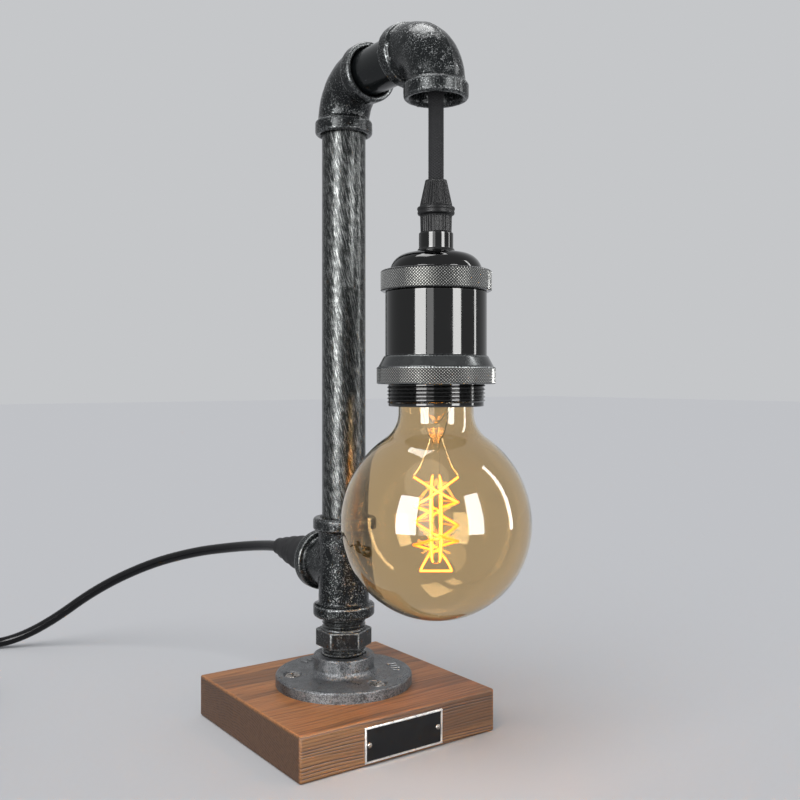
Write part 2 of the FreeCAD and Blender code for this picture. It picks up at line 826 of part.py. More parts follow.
def make_boot():
    """A stepped rubber boot whose root plugs the tee's side mouth."""
    outline = [
        ("TeeReach - BootSocketDepth", "MainsCordRadius"),
        ("TeeReach - BootSocketDepth", "BootSocketRadius"),
        ("TeeReach", "BootSocketRadius"),
    ]
    reach = "TeeReach"
    for tier in ("First", "Second", "Third", "Tip"):
        outline.append((reach, f"Boot{tier}Radius"))
        reach += f" + Boot{tier}Length"
        outline.append((reach, f"Boot{tier}Radius - BootStepTaper"))
    outline.append((reach, "MainsCordRadius"))
    place(turned_body("cord_boot", outline, role="YZ_Plane", axis="H_Axis"), z=TEE_HEIGHT)


# The mains cord lies on the table.  These points are chosen by hand, in order from the
# boot to the switch, from the switch to the coil, and from the coil to the plug.
SWITCH_CENTRE = Vector(-160.0, 150.0, 0.0)
COIL_CENTRE = Vector(-201.2, 70.0, 0.0)
PLUG_NECK_TIP = Vector(-217.5, 160.0, 0.0)
BOOT_TO_SWITCH = [
    (-0.5, 89.0, 74.0),
    (-5.0, 115.0, 69.6),
    (-16.5, 143.5, 63.8),
    (-34.5, 171.5, 54.0),
    (-58.0, 197.0, 37.5),
    (-82.0, 217.0, 15.0),
    (-101.5, 231.0, 3.6),
    (-118.4, 236.4, 2.9),
    (-135.0, 234.4, 2.9),
    (-149.2, 225.0, 2.9),
    (-157.8, 210.6, 4.0),
    (-160.1, 194.6, 7.5),
]
SWITCH_TO_COIL = [(-160.0, 106.0, 7.3), (-160.1, 91.5, 4.5)]
COIL_TO_PLUG = [
    (-242.4, 81.0, 7.9),
    (-242.4, 94.0, 5.2),
    (-241.8, 108.0, 3.1),
    (-237.0, 122.0, 2.9),
    (-229.0, 134.2, 3.9),
    (-220.4, 146.0, 6.0),
]


def make_mains_cord():
    """The three stretches of mains cord, each ending on the piece that it meets."""
    coil = turned_body(
        "cord_coil",
        tube_outline(
            "CoilMeanRadius - CoilBundleWidth / 2",
            "CoilMeanRadius + CoilBundleWidth / 2",
            "0",
            "CoilBundleHeight",
        ),
    )
    rounding = "min(CoilBundleWidth; CoilBundleHeight) * 0.4"
    fillet(coil, rounding, lambda edge: isinstance(edge.Curve, Part.Circle))
    coil.Placement.Base = COIL_CENTRE
    doc.recompute()
    radius = size("MainsCordRadius")
    boot_tip = seat_of("pipe_tee") + Vector(0, boot_tip_reach(), 0)
    half_switch = Vector(0, size("SwitchLength") / 2, size("SwitchCordHeight"))
    entry = SWITCH_CENTRE + half_switch
    leaving = SWITCH_CENTRE + Vector(0, -half_switch.y, half_switch.z)
    plug = PLUG_NECK_TIP + Vector(0, 0, size("PlugHeight") / 2)
    to_switch = [boot_tip, *map(Vector, BOOT_TO_SWITCH), entry]
    to_coil = [leaving, *map(Vector, SWITCH_TO_COIL)]
    to_plug = [*map(Vector, COIL_TO_PLUG), plug]
    shaped("mains_cord_lamp_end", cable(to_switch, radius))
    shaped("mains_cord_middle", cable(to_coil, radius).cut(coil.Shape))
    shaped("mains_cord_plug_end", cable(to_plug, radius).cut(coil.Shape))


# ----------------------------------------------------------------------------- pendant


def make_pendant_cord():
    """The cord that hangs from the open elbow, and the point where it flexes."""
    flex = node(doc.addObject("Part::Sphere", "cord_flex_point"))
    bind(flex, Radius="TextileCordRadius")
    place(flex, y=PENDANT_Y, z=PIVOT_HEIGHT)
    hidden = "SwingPivotRise - TextileCordRadius - SwingJointGap"
    length = f"CordDrop + {hidden} + {GRIP_LENGTH}"
    cylinder("drop_cord", "TextileCordRadius", length, y=PENDANT_Y, z=COLLAR_TOP)


def make_cord_grip():
    """A moulded cord grip: a cone, a flared flange and a ribbed body below."""
    flare = "-GripConeLength"
    body_top = "-(GripConeLength + GripFlareLength)"
    foot = f"-({GRIP_LENGTH})"
    grip = turned_body(
        "cord_grip",
        [
            ("TextileCordRadius", "0"),
            ("GripTopRadius", "0"),
            ("GripConeRadius", flare),
            ("GripFlareRadius", flare),
            ("GripFlareRadius", body_top),
            ("GripBodyRadius", body_top),
            ("GripBodyRadius", foot),
            ("TextileCordRadius", foot),
        ],
    )
    fillet(grip, "GripFlareLength * 0.25", round_edge(size("GripFlareRadius")))
    place(grip, y=PENDANT_Y, z=GRIP_TOP)
    spigot_end = "-(CollarLength + CollarSpigotLength)"
    collar = turned_body(
        "grip_collar",
        [
            ("CollarBoreRadius", "0"),
            ("CollarRadius", "0"),
            ("CollarRadius", "-CollarLength"),
            ("CollarSpigotRadius", "-CollarLength"),
            ("CollarSpigotRadius", spigot_end),
            ("CollarBoreRadius", spigot_end),
        ],
    )
    place(collar, y=PENDANT_Y, z=COLLAR_TOP)


def make_socket_cap():
    """A spun dome with a skirt inside the knurled ring, pierced for the collar."""
    foot = "-(CapHeight + CapRingHeight)"
    cap = turned_body(
        "socket_cap",
        [
            ("CollarSpigotRadius", "0"),
            ("CapBaseRadius", "0"),
            ("CapBaseRadius", foot),
            ("CapBaseRadius - SocketWall", foot),
            ("CapBaseRadius - SocketWall", "-SocketWall"),
            ("CollarSpigotRadius", "-SocketWall"),
        ],
    )
    inner = size("CapBaseRadius") - size("SocketWall")
    dome = "min(CapHeight; CapBaseRadius - CapTopRadius) * 0.98"
    fillet(cap, dome, round_edge(size("CapBaseRadius"), 0.0))
    fillet(cap, f"{dome} - SocketWall", round_edge(inner, -size("SocketWall")))
    place(cap, y=PENDANT_Y, z=CAP_TOP)
    ring = turned_body("cap_ring", tube_outline("CapBaseRadius", "CapRingRadius", "-CapRingHeight", "0"))
    fillet(ring, "RingEdgeRadius", round_edge(size("CapRingRadius")))
    place(ring, y=PENDANT_Y, z=CAP_RING_TOP)


def make_socket_shell():
    """The plain outer shell and, below it, the sleeve with the shade-ring thread."""
    bore = "ShellRadius - SocketWall"
    shell = turned_body("socket_shell", tube_outline(bore, "ShellRadius", "-ShellLength", "0"))
    place(shell, y=PENDANT_Y, z=SHELL_TOP)
    sleeve_bore = "SleeveRadius - SleeveWall"
    sleeve = turned_body(
        "threaded_sleeve",
        [
            (sleeve_bore, f"-({SLEEVE_LENGTH})"),
            ("SleeveRadius", f"-({SLEEVE_LENGTH})"),
            ("SleeveRadius", "0"),
            (bore, "0"),
            (bore, "SleeveSpigotLength"),
            (sleeve_bore, "SleeveSpigotLength"),
        ],
    )
    place(sleeve, y=PENDANT_Y, z=SHELL_BOTTOM)


def make_shade_ring():
    """The ring that clamps a shade: a conical shoulder above a knurled band."""
    bore = "SleeveRadius + SlideClearance"
    foot = f"-({SHADE_RING_LENGTH})"
    ring = turned_body(
        "shade_ring",
        [
            (bore, "0"),
            ("ShellRadius + ShadeRingStep", "0"),
            ("ShadeRingRadius", "-ShadeConeHeight"),
            ("ShadeRingRadius", foot),
            (bore, foot),
        ],
    )
    place(ring, y=PENDANT_Y, z=SHELL_BOTTOM)


INSERT_FOOT = f"-(ShellLength + {SLEEVE_LENGTH} - InsertAboveSleeveEnd)"
CONTACT_RISE = "CapScrewHeight + CapInsulatorHeight + TipContactHeight + SlideClearance"
CONTACT_BASE = f"BulbNeckAboveSleeve + {CONTACT_RISE} - (ShellLength + {SLEEVE_LENGTH})"
CONTACT_TOP = f"({CONTACT_BASE} + CentreContactHeight)"


def make_lampholder():
    """The ceramic insert with its screw shell, centre contact, terminals and cores."""
    cavity = "(CapScrewRadius + ScrewShellPlay + ScrewShellWall)"
    insert = turned_body(
        "ceramic_insert",
        [
            ("0", "0"),
            ("ShellRadius - SocketWall", "0"),
            ("ShellRadius - SocketWall", "-InsertSeatHeight"),
            ("InsertRadius", "-InsertSeatHeight"),
            ("InsertRadius", INSERT_FOOT),
            (cavity, INSERT_FOOT),
            (cavity, CONTACT_TOP),
            ("0", CONTACT_TOP),
        ],
    )
    place(insert, y=PENDANT_Y, z=SHELL_TOP)
    lip = f"{INSERT_FOOT} + ScrewShellWall"
    screw_shell = tube_outline(f"{cavity} - ScrewShellWall", cavity, lip, CONTACT_TOP)
    place(turned_body("screw_shell", screw_shell), y=PENDANT_Y, z=SHELL_TOP)
    contact_seat = SHELL_TOP + f" + {CONTACT_BASE}"
    cylinder("centre_contact", "CentreContactRadius", "CentreContactHeight", y=PENDANT_Y, z=contact_seat)
    terminal = doc.addObject("Part::Cylinder", "terminal_template")
    bind(terminal, Radius="TerminalScrewRadius", Height="TerminalScrewHeight")
    sides = [side + "TerminalScrewSpacing / 2" for side in ("-", "")]
    copies("terminal_screws", terminal, [(side, PENDANT_Y, SHELL_TOP) for side in sides])
    collar, shell = seat_of("grip_collar"), seat_of("socket_shell")
    terminal_top = shell.z + size("TerminalScrewHeight")
    cap_inside = shell.z + size("CapRingHeight") * 0.6
    cores = []
    for side in (-1, 1):
        near, far = side * size("CoreWireRadius") * 1.2, side * size("TerminalScrewSpacing") / 2
        legs = [
            collar + Vector(near, 0, 0),
            Vector(near, collar.y, cap_inside),
            Vector(far, collar.y, cap_inside),
            Vector(far, collar.y, terminal_top),
        ]
        cores.append(cable(legs, size("CoreWireRadius"), size("CoreWireRadius") * 1.5))
    shaped("core_wires", Part.makeCompound(cores))


# -------------------------------------------------------------------------------- bulb


def arc_between(centre, radius, first, last):
    """An arc in the XZ plane, from one angle to another in degrees."""

    def at(angle):
        turn = math.radians(angle)
        return centre + Vector(radius * math.cos(turn), 0, radius * math.sin(turn))

    return Part.Arc(at(first), at((first + last) / 2), at(last)).toShape()


def glass_outline(wall):
    """The globe's outline, a wall's thickness in from its outside, as edges from pole to spigot."""
    globe, offset = size("BulbRadius"), size("BulbShoulderOffset")
    neck, flare = size("BulbNeckRadius"), size("BulbFlareRadius")
    neck_top = size("BulbCentreBelowSleeve") + size("BulbNeckAboveSleeve")
    across = neck + flare + offset
    flare_height = math.sqrt((globe + offset + flare) ** 2 - across**2)
    meeting = math.degrees(math.atan2(flare_height, across))
    spigot = size("GlassSpigotRadius") - wall
    neck_corner = Vector(neck - wall, 0, neck_top - size("BulbNeckTaper") - wall)
    corners = [
        Vector(neck - wall, 0, flare_height),
        neck_corner,
        Vector(spigot, 0, neck_top - wall),
        Vector(spigot, 0, neck_top + size("GlassSpigotLength")),
    ]
    edges = [
        arc_between(Vector(), globe - wall, -90, 0),
        arc_between(Vector(-offset, 0, 0), globe + offset - wall, 0, meeting),
        arc_between(Vector(neck + flare, 0, flare_height), flare + wall, 180 + meeting, 180),
    ]
    for start, end in zip(corners, corners[1:]):
        edges.append(Part.LineSegment(start, end).toShape())
    return edges


def make_glass():
    """The blown globe: one wall between two outlines, turned about the axis."""
    wall = size("GlassWall")
    outside, inside = glass_outline(0.0), glass_outline(wall)
    pole = Part.LineSegment(Vector(0, 0, -size("BulbRadius")), Vector(0, 0, wall - size("BulbRadius")))
    spigot_top = size("BulbCentreBelowSleeve") + size("BulbNeckAboveSleeve") + size("GlassSpigotLength")
    spigot = size("GlassSpigotRadius")
    rim = Part.LineSegment(Vector(spigot, 0, spigot_top), Vector(spigot - wall, 0, spigot_top))
    loop = Part.Wire(Part.sortEdges([*outside, *inside, pole.toShape(), rim.toShape()])[0])
    glass = shaped("bulb_glass", Part.Face(loop).revolve(Vector(), Vector(0, 0, 1), 360))
    place(glass, y=PENDANT_Y, z=SLEEVE_END + " - BulbCentreBelowSleeve")


def make_bulb_cap():
    """The Edison screw cap, its glass insulator and its centre contact."""
    root = "(CapScrewRadius - CapThreadDepth)"
    inner = f"{root} - CapWall"
    outline = [(inner, "0"), (root, "0")]
    ridge = [(root, 0.55), ("CapScrewRadius", 0.85), ("CapScrewRadius", 1.15), (root, 1.45)]
    for turn in range(round(size("CapThreadTurns"))):
        outline += [(radius, f"CapThreadPitch * {turn + share:.2f}") for radius, share in ridge]
    outline += [(root, "CapScrewHeight"), (inner, "CapScrewHeight")]
    place(turned_body("bulb_cap", outline), y=PENDANT_Y, z=NECK_TOP)
    top = "CapScrewHeight + CapInsulatorHeight"
    insulator = [
        ("0", "CapScrewHeight - CapWall"),
        (inner, "CapScrewHeight - CapWall"),
        (inner, "CapScrewHeight"),
        ("CapInsulatorTopRadius", top),
        ("0", top),
    ]
    place(turned_body("cap_insulator", insulator), y=PENDANT_Y, z=NECK_TOP)
    tip_seat = NECK_TOP + f" + {top}"
    cylinder("tip_contact", "TipContactRadius", "TipContactHeight", y=PENDANT_Y, z=tip_seat)


def make_stem():
    """The glass stem sealed in the neck, drawn out into the rod that holds the supports."""
    wall, top = "GlassWall", "GlassSpigotLength"
    outer = "(GlassSpigotRadius - GlassWall)"
    stem = turned_body(
        "glass_stem",
        [
            ("0", "-StemLength * 0.6"),
            ("StemTipRadius * 0.6", "-StemLength * 0.5"),
            (f"StemMiddleRadius - {wall}", "-StemLength * 0.1"),
            (f"{outer} - {wall}", top),
            (outer, top),
            ("StemMiddleRadius", "-StemLength * 0.1"),
            ("StemTipRadius", "-StemLength * 0.8"),
            ("HubRodRadius", "-StemLength"),
            ("HubRodRadius", "-HubRodEndDepth"),
            ("0", "-HubRodEndDepth"),
        ],
    )
    place(stem, y=PENDANT_Y, z=NECK_TOP)


def around(radius, angle, depth):
    """A point at a radius, an angle from the leads' plane and a depth below the cap."""
    turn = math.radians(angle) - math.radians(size("BulbTurn"))
    return Vector(radius * math.cos(turn), radius * math.sin(turn), -depth)


def strand(lead_angle):
    """One strand of the filament, from its lead down its helix of hooks."""
    steps = round(size("FilamentSteps"))
    depth, fall = size("FilamentTopDepth"), size("FilamentPitch") / 4
    inner = size("HubRodRadius") + 3 * size("FilamentWireRadius")
    helix_top = depth + size("FilamentLeadDrop")
    points = [around(size("FilamentRadius"), lead_angle, depth)]
    points.append(around(inner, lead_angle + 90, depth + size("FilamentLeadDrop") * 0.55))
    points += [
        around(size("FilamentRadius"), lead_angle + 180 + 90 * k, helix_top + fall * k)
        for k in range(steps)
    ]
    return points


def make_filament():
    """A carbon-style filament: two strands wound round the rod, joined below it."""
    left, right = strand(180.0), strand(0.0)
    foot = size("FilamentFootDepth")
    base = [around(size("FilamentFootRadius"), angle, foot) for angle in (180.0, 0.0)]
    points = [*left, *base, *reversed(right)]
    edges = [Part.LineSegment(a, b).toShape() for a, b in zip(points, points[1:])]
    section = Part.Circle(points[0], points[1] - points[0], size("FilamentWireRadius"))
    wire = Part.Wire(edges).makePipeShell([Part.Wire(section.toShape())], True, False, 1)
    place(shaped("filament", wire), y=PENDANT_Y, z=NECK_TOP)
    hooks = []
    for corner in left[2:] + right[2:]:
        axis_point = Vector(0, 0, corner.z)
        outward = (corner - axis_point).normalize()
        start = axis_point + outward * size("HubRodRadius")
        length = (corner - start).Length - size("FilamentWireRadius")
        hooks.append(Part.makeCylinder(size("SupportWireRadius"), length, start, outward))
    place(shaped("support_wires", Part.makeCompound(hooks)), y=PENDANT_Y, z=NECK_TOP)
    leads = []
    for strand_start, angle in ((left[0], 180.0), (right[0], 0.0)):
        above = Vector(0, 0, 2 * size("FilamentWireRadius"))
        root = around(size("StemTipRadius") * 0.6, angle, size("StemLength") * 0.9)
        knee = around(size("FilamentRadius") * 0.7, angle, size("FilamentTopDepth") * 0.86)
        legs = [root, knee, strand_start + above]
        leads.append(cable(legs, size("SupportWireRadius"), 4.0))
    place(shaped("lead_wires", Part.makeCompound(leads)), y=PENDANT_Y, z=NECK_TOP)


# ---------------------------------------------------------------- in-line switch and plug


def switch_outline(sketch, inset="0"):
    """The switch's plan: a long box whose ends taper to the cord."""
    half, wide, narrow = "SwitchLength / 2", f"SwitchWidth / 2 - {inset}", "SwitchEndWidth / 2"
    waist = f"{half} - SwitchTaper"
    quarter = [(wide, waist), (narrow, half)]
    right = [(x, f"-({y})") for x, y in reversed(quarter)] + quarter
    left = [(f"-({x})", y) for x, y in reversed(quarter)]
    left += [(f"-({x})", f"-({y})") for x, y in quarter]
    return draw_outline(sketch, right + left)


def switch_cavity(body, sketch_lift, depth, **settings):
    """Hollow the middle of one half of the switch."""
    sketch = new_sketch(body, "XY_Plane", sketch_lift)
    draw_rectangle(sketch, "SwitchWidth - 2 * SwitchWall", "SwitchCavityLength")
    extrude(body, sketch, depth, "Pocket", **settings)


def switch_screw_seats():
    """The plan positions of the two housing screws, at opposite corners."""
    across, along = "SwitchScrewAcross", "SwitchScrewAlong"
    return [(across, along), (f"-{across}", f"-{along}")]


def make_switch():
    """An in-line rocker switch: two housing halves, rocker, contacts and screws."""
    bottom = new_body("switch_housing_bottom")
    extrude(bottom, switch_outline(new_sketch(bottom, "XY_Plane")), "SwitchCordHeight")
    fillet(bottom, "SwitchEdgeRadius", lambda edge: edge.BoundBox.ZMax < 1e-4)
    switch_cavity(bottom, "SwitchCordHeight", "SwitchCordHeight - SwitchWall")
    for seat in switch_screw_seats():
        hole = new_sketch(bottom, "XY_Plane", "SwitchCordHeight")
        extrude(bottom, draw_circle(hole, "SwitchScrewRadius", *seat), "SwitchCordHeight", "Pocket")
        head = draw_circle(new_sketch(bottom, "XY_Plane"), "SwitchScrewHeadRadius", *seat)
        extrude(bottom, head, "SwitchScrewRecess", "Pocket", Reversed=True)
    top = new_body("switch_housing_top")
    upper = "SwitchHeight - SwitchCordHeight"
    extrude(top, switch_outline(new_sketch(top, "XY_Plane")), upper)
    ceiling = size("SwitchHeight") - size("SwitchCordHeight")
    fillet(top, "SwitchEdgeRadius", lambda edge: edge.BoundBox.ZMin > ceiling - 1e-4)
    switch_cavity(top, "0", f"{upper} - SwitchWall", Reversed=True)
    window = new_sketch(top, "XY_Plane", upper)
    draw_rectangle(window, "RockerWidth + 2 * RockerPlay", "RockerLength + 2 * RockerEndPlay")
    extrude(top, window, upper, "Pocket")
    rocker_lugs(top, upper)
    for seat in switch_screw_seats():
        hole = draw_circle(new_sketch(top, "XY_Plane"), "SwitchScrewRadius", *seat)
        extrude(top, hole, "SwitchScrewLength - SwitchCordHeight", "Pocket", Reversed=True)
    top.Placement.Base = bottom.Placement.Base = SWITCH_CENTRE
    top.setExpression("Placement.Base.z", cell("SwitchCordHeight"))
    make_rocker()
    make_switch_fittings()


def rocker_lugs(top, upper):
    """Hang two bored lugs from the switch's ceiling, one each side of its window."""
    pivot = f"({upper} - RockerPivotDepth)"
    foot = f"({pivot} - LugReach)"
    side = "RockerWidth / 2 + RockerPlay"
    for sign in ("-", ""):
        across = f"{sign}({side} + LugThickness / 2)"
        lug = new_sketch(top, "XY_Plane", foot)
        draw_rectangle(lug, "LugThickness", "LugWidth", across)
        extrude(top, lug, f"{upper} - SwitchWall / 2 - {foot}")
    bore = new_sketch(top, "YZ_Plane", f"-({side} + LugThickness)")
    draw_circle(bore, "TrunnionRadius + TrunnionPlay", up=pivot)
    extrude(top, bore, f"2 * ({side} + LugThickness)", "Pocket", Reversed=True)


def make_rocker():
    """A two-sided rocker on trunnions, at rest pressed down on the side towards the lamp."""
    rocker = new_body("switch_rocker")
    half = "RockerLength / 2"
    dip = f"RockerRise - {half} * tan(RockerTilt)"
    side_view = [
        (f"-{half}", "-RockerDepth"),
        (half, "-RockerDepth"),
        (half, "RockerRise"),
        ("0", dip),
        (f"-{half}", "RockerRise"),
    ]
    sketch = draw_outline(new_sketch(rocker, "YZ_Plane", "-RockerWidth / 2"), side_view)
    extrude(rocker, sketch, "RockerWidth")
    trunnions = new_sketch(rocker, "YZ_Plane", "-(RockerWidth / 2 + TrunnionLength)")
    extrude(rocker, draw_circle(trunnions, "TrunnionRadius"), "RockerWidth + 2 * TrunnionLength")
    tilt = Rotation(Vector(1, 0, 0), -size("RockerTilt"))
    rocker.Placement = Placement(SWITCH_CENTRE, tilt)
    rocker.setExpression("Placement.Base.z", cell("SwitchHeight - RockerPivotDepth"))


def make_switch_fittings():
    """The two contacts on the housing floor and the two screws that close it."""
    contact = doc.addObject("Part::Box", "contact_template")
    bind(contact, Length="SwitchContactWidth", Width="SwitchContactLength", Height="SwitchContactHeight")
    screw = new_body("switch_screw_template", is_node=False)
    recess = "SwitchScrewRecess"
    turn_outline(
        screw,
        [
            ("0", f"{recess} - SwitchScrewHeadHeight"),
            ("SwitchScrewHeadRadius", f"{recess} - SwitchScrewHeadHeight"),
            ("SwitchScrewHeadRadius", recess),
            ("SwitchScrewRadius", recess),
            ("SwitchScrewRadius", "SwitchScrewLength"),
            ("0", "SwitchScrewLength"),
        ],
    )
    corner = "-SwitchContactWidth / 2"
    ends = [f"({sign}SwitchContactSpacing - SwitchContactLength) / 2" for sign in ("-", "")]
    contact_seats = [(corner, end, "SwitchWall") for end in ends]
    screw_seats = [(x, y, "0") for x, y in switch_screw_seats()]
    copies("switch_contacts", contact, contact_seats).Placement.Base = SWITCH_CENTRE
    copies("switch_screws", screw, screw_seats).Placement.Base = SWITCH_CENTRE


def make_plug():
    """A flat two-pin plug lying on the table, its neck towards the cord."""
    body = new_body("plug_body")
    wide, back = "PlugWidth / 2", "PlugBackWidth / 2"
    shoulder = "PlugNeckLength + PlugShoulderLength"
    face = "PlugNeckLength + PlugLength"
    plan = [
        (f"-{back}", "PlugNeckLength"),
        (back, "PlugNeckLength"),
        (wide, shoulder),
        (wide, face),
        (f"-{wide}", face),
        (f"-{wide}", shoulder),
    ]
    extrude(body, draw_outline(new_sketch(body, "XY_Plane"), plan), "PlugHeight")
    fillet(body, "PlugEdgeRadius", lambda edge: abs(edge.BoundBox.YMin - edge.BoundBox.YMax) > 1e-4)
    neck_root = "PlugNeckLength + PlugShoulderLength / 2"
    neck = new_sketch(body, "XZ_Plane", f"-({neck_root})")
    extrude(body, draw_circle(neck, "PlugNeckRadius", up="PlugHeight / 2"), neck_root)
    for side in ("-", ""):
        hole = new_sketch(body, "XZ_Plane", f"-({face})")
        draw_circle(hole, "PlugPinRootRadius", side + "PlugPinSpacing / 2", "PlugHeight / 2")
        extrude(body, hole, "PlugPinRoot", "Pocket", Reversed=True)
    body.Placement.Base = PLUG_NECK_TIP
    pin = new_body("plug_pin_template", is_node=False)
    pin_outline = [
        ("-PlugPinRoot", "0"),
        ("-PlugPinRoot", "PlugPinRootRadius"),
        ("0", "PlugPinRootRadius"),
        ("0", "PlugPinRadius"),
        ("PlugPinLength", "PlugPinRadius"),
        ("PlugPinLength", "0"),
    ]
    turn_outline(pin, pin_outline, role="YZ_Plane", axis="H_Axis")
    seats = [(side + "PlugPinSpacing / 2", face, "PlugHeight / 2") for side in ("-", "")]
    copies("plug_pins", pin, seats).Placement.Base = PLUG_NECK_TIP


# ------------------------------------------------------------------- build, check, write


def main():
    """Build every sub-part, check it and write it out."""
    for make in (
        make_base,
        make_nameplate,
        make_nameplate_pins,
        make_flange,
        make_flange_screws,
        make_hex_nipple,
        make_tee,
        make_column,
        make_arm,
        make_boot,
        make_inner_cables,
        make_pendant_cord,
        make_cord_grip,
        make_socket_cap,
        make_socket_shell,
        make_shade_ring,
        make_lampholder,
        make_glass,
        make_bulb_cap,
        make_stem,
        make_filament,
        make_switch,
        make_plug,
        make_mains_cord,
    ):
        make()
    doc.recompute()
    faults = [item.Label for item in doc.Objects if {"Invalid", "Error"} & set(item.State)]
    faults += [item.Label for item in NODES if item.Shape.isNull() or not item.Shape.isValid()]
    if faults:
        sys.exit("failed: " + ", ".join(faults))
    os.makedirs("parts", exist_ok=True)
    for item in NODES:
        item.Shape.exportStep(f"parts/{item.Label}.step")
    print(f"wrote {len(NODES)} sub-parts")


main()
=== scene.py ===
"""Dresses a pipe table lamp: iron fittings on oiled wood, a black nickel socket, an amber globe."""

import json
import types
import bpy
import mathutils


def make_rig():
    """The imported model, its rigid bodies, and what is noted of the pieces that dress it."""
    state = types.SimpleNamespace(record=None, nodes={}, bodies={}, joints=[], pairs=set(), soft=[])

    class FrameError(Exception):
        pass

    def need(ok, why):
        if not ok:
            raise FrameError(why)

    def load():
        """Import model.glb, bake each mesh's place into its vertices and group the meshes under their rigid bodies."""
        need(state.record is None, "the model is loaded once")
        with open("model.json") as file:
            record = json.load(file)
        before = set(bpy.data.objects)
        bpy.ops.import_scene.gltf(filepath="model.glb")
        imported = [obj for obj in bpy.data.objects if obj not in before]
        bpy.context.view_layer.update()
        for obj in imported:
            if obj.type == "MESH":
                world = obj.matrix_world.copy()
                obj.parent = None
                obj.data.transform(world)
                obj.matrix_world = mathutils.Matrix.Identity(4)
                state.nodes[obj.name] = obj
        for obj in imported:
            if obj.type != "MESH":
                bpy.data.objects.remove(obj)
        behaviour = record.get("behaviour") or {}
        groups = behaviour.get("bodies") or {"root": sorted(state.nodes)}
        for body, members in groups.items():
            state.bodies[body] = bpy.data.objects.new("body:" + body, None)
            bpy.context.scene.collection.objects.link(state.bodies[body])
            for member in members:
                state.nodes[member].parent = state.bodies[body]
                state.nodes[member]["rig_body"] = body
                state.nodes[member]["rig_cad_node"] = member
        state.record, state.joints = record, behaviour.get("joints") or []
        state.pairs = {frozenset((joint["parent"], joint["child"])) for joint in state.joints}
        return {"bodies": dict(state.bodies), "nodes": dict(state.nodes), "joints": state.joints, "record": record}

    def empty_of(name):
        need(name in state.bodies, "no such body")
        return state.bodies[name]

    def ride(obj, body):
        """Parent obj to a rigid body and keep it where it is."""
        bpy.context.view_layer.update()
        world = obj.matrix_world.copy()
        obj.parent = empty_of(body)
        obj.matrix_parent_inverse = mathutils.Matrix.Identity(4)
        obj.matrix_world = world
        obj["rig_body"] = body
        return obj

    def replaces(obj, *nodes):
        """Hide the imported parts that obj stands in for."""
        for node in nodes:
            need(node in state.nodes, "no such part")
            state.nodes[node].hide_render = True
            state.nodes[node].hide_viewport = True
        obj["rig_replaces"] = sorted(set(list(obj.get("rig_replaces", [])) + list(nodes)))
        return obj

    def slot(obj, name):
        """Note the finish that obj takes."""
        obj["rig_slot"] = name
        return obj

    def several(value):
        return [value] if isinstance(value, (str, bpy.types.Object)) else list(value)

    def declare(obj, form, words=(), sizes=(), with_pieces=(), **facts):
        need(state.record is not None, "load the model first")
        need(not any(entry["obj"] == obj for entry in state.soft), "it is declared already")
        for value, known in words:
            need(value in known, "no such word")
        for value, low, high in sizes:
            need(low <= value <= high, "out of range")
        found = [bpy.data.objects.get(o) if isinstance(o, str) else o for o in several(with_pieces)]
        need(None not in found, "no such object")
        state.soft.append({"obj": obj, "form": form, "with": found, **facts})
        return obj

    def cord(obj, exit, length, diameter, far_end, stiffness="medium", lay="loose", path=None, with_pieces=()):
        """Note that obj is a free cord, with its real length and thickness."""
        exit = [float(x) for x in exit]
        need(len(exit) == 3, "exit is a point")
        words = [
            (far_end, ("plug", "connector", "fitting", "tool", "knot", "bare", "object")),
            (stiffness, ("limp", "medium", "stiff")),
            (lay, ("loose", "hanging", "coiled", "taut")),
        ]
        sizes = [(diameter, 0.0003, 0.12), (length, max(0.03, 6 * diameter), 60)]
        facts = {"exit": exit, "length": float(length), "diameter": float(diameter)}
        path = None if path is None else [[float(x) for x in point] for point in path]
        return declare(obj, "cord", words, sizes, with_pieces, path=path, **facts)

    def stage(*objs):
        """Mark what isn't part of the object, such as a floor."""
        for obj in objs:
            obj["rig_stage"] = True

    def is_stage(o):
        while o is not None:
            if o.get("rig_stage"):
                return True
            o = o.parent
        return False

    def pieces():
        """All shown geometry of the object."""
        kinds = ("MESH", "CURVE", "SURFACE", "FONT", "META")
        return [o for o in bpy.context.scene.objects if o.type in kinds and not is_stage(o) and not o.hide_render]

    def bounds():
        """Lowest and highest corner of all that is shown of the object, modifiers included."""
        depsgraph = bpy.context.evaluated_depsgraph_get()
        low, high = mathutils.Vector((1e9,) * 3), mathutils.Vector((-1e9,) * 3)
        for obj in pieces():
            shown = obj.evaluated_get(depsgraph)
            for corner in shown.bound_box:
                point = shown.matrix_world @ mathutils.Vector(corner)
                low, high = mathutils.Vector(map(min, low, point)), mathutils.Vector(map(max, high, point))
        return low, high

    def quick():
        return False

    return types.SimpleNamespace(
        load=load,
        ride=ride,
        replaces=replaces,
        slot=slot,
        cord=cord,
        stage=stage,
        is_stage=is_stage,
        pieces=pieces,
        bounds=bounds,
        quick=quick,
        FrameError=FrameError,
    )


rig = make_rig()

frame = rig.load()

import json
import logging
import math
from collections.abc import Callable, Iterable, Sequence
from dataclasses import dataclass
from enum import Enum

import bmesh
import bpy
from mathutils import Matrix, Vector, noise

CAD_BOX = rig.bounds()
MM = 0.001
LOG = logging.getLogger("pipe_lamp")
Outline = Sequence[tuple[float, float]]
Point = tuple[float, float, float]
Colour = tuple[float, float, float]
Faces = list[bmesh.types.BMFace]
Socket = bpy.types.NodeSocket
Sockets = dict[str, Socket]
Feed = Socket | float | tuple


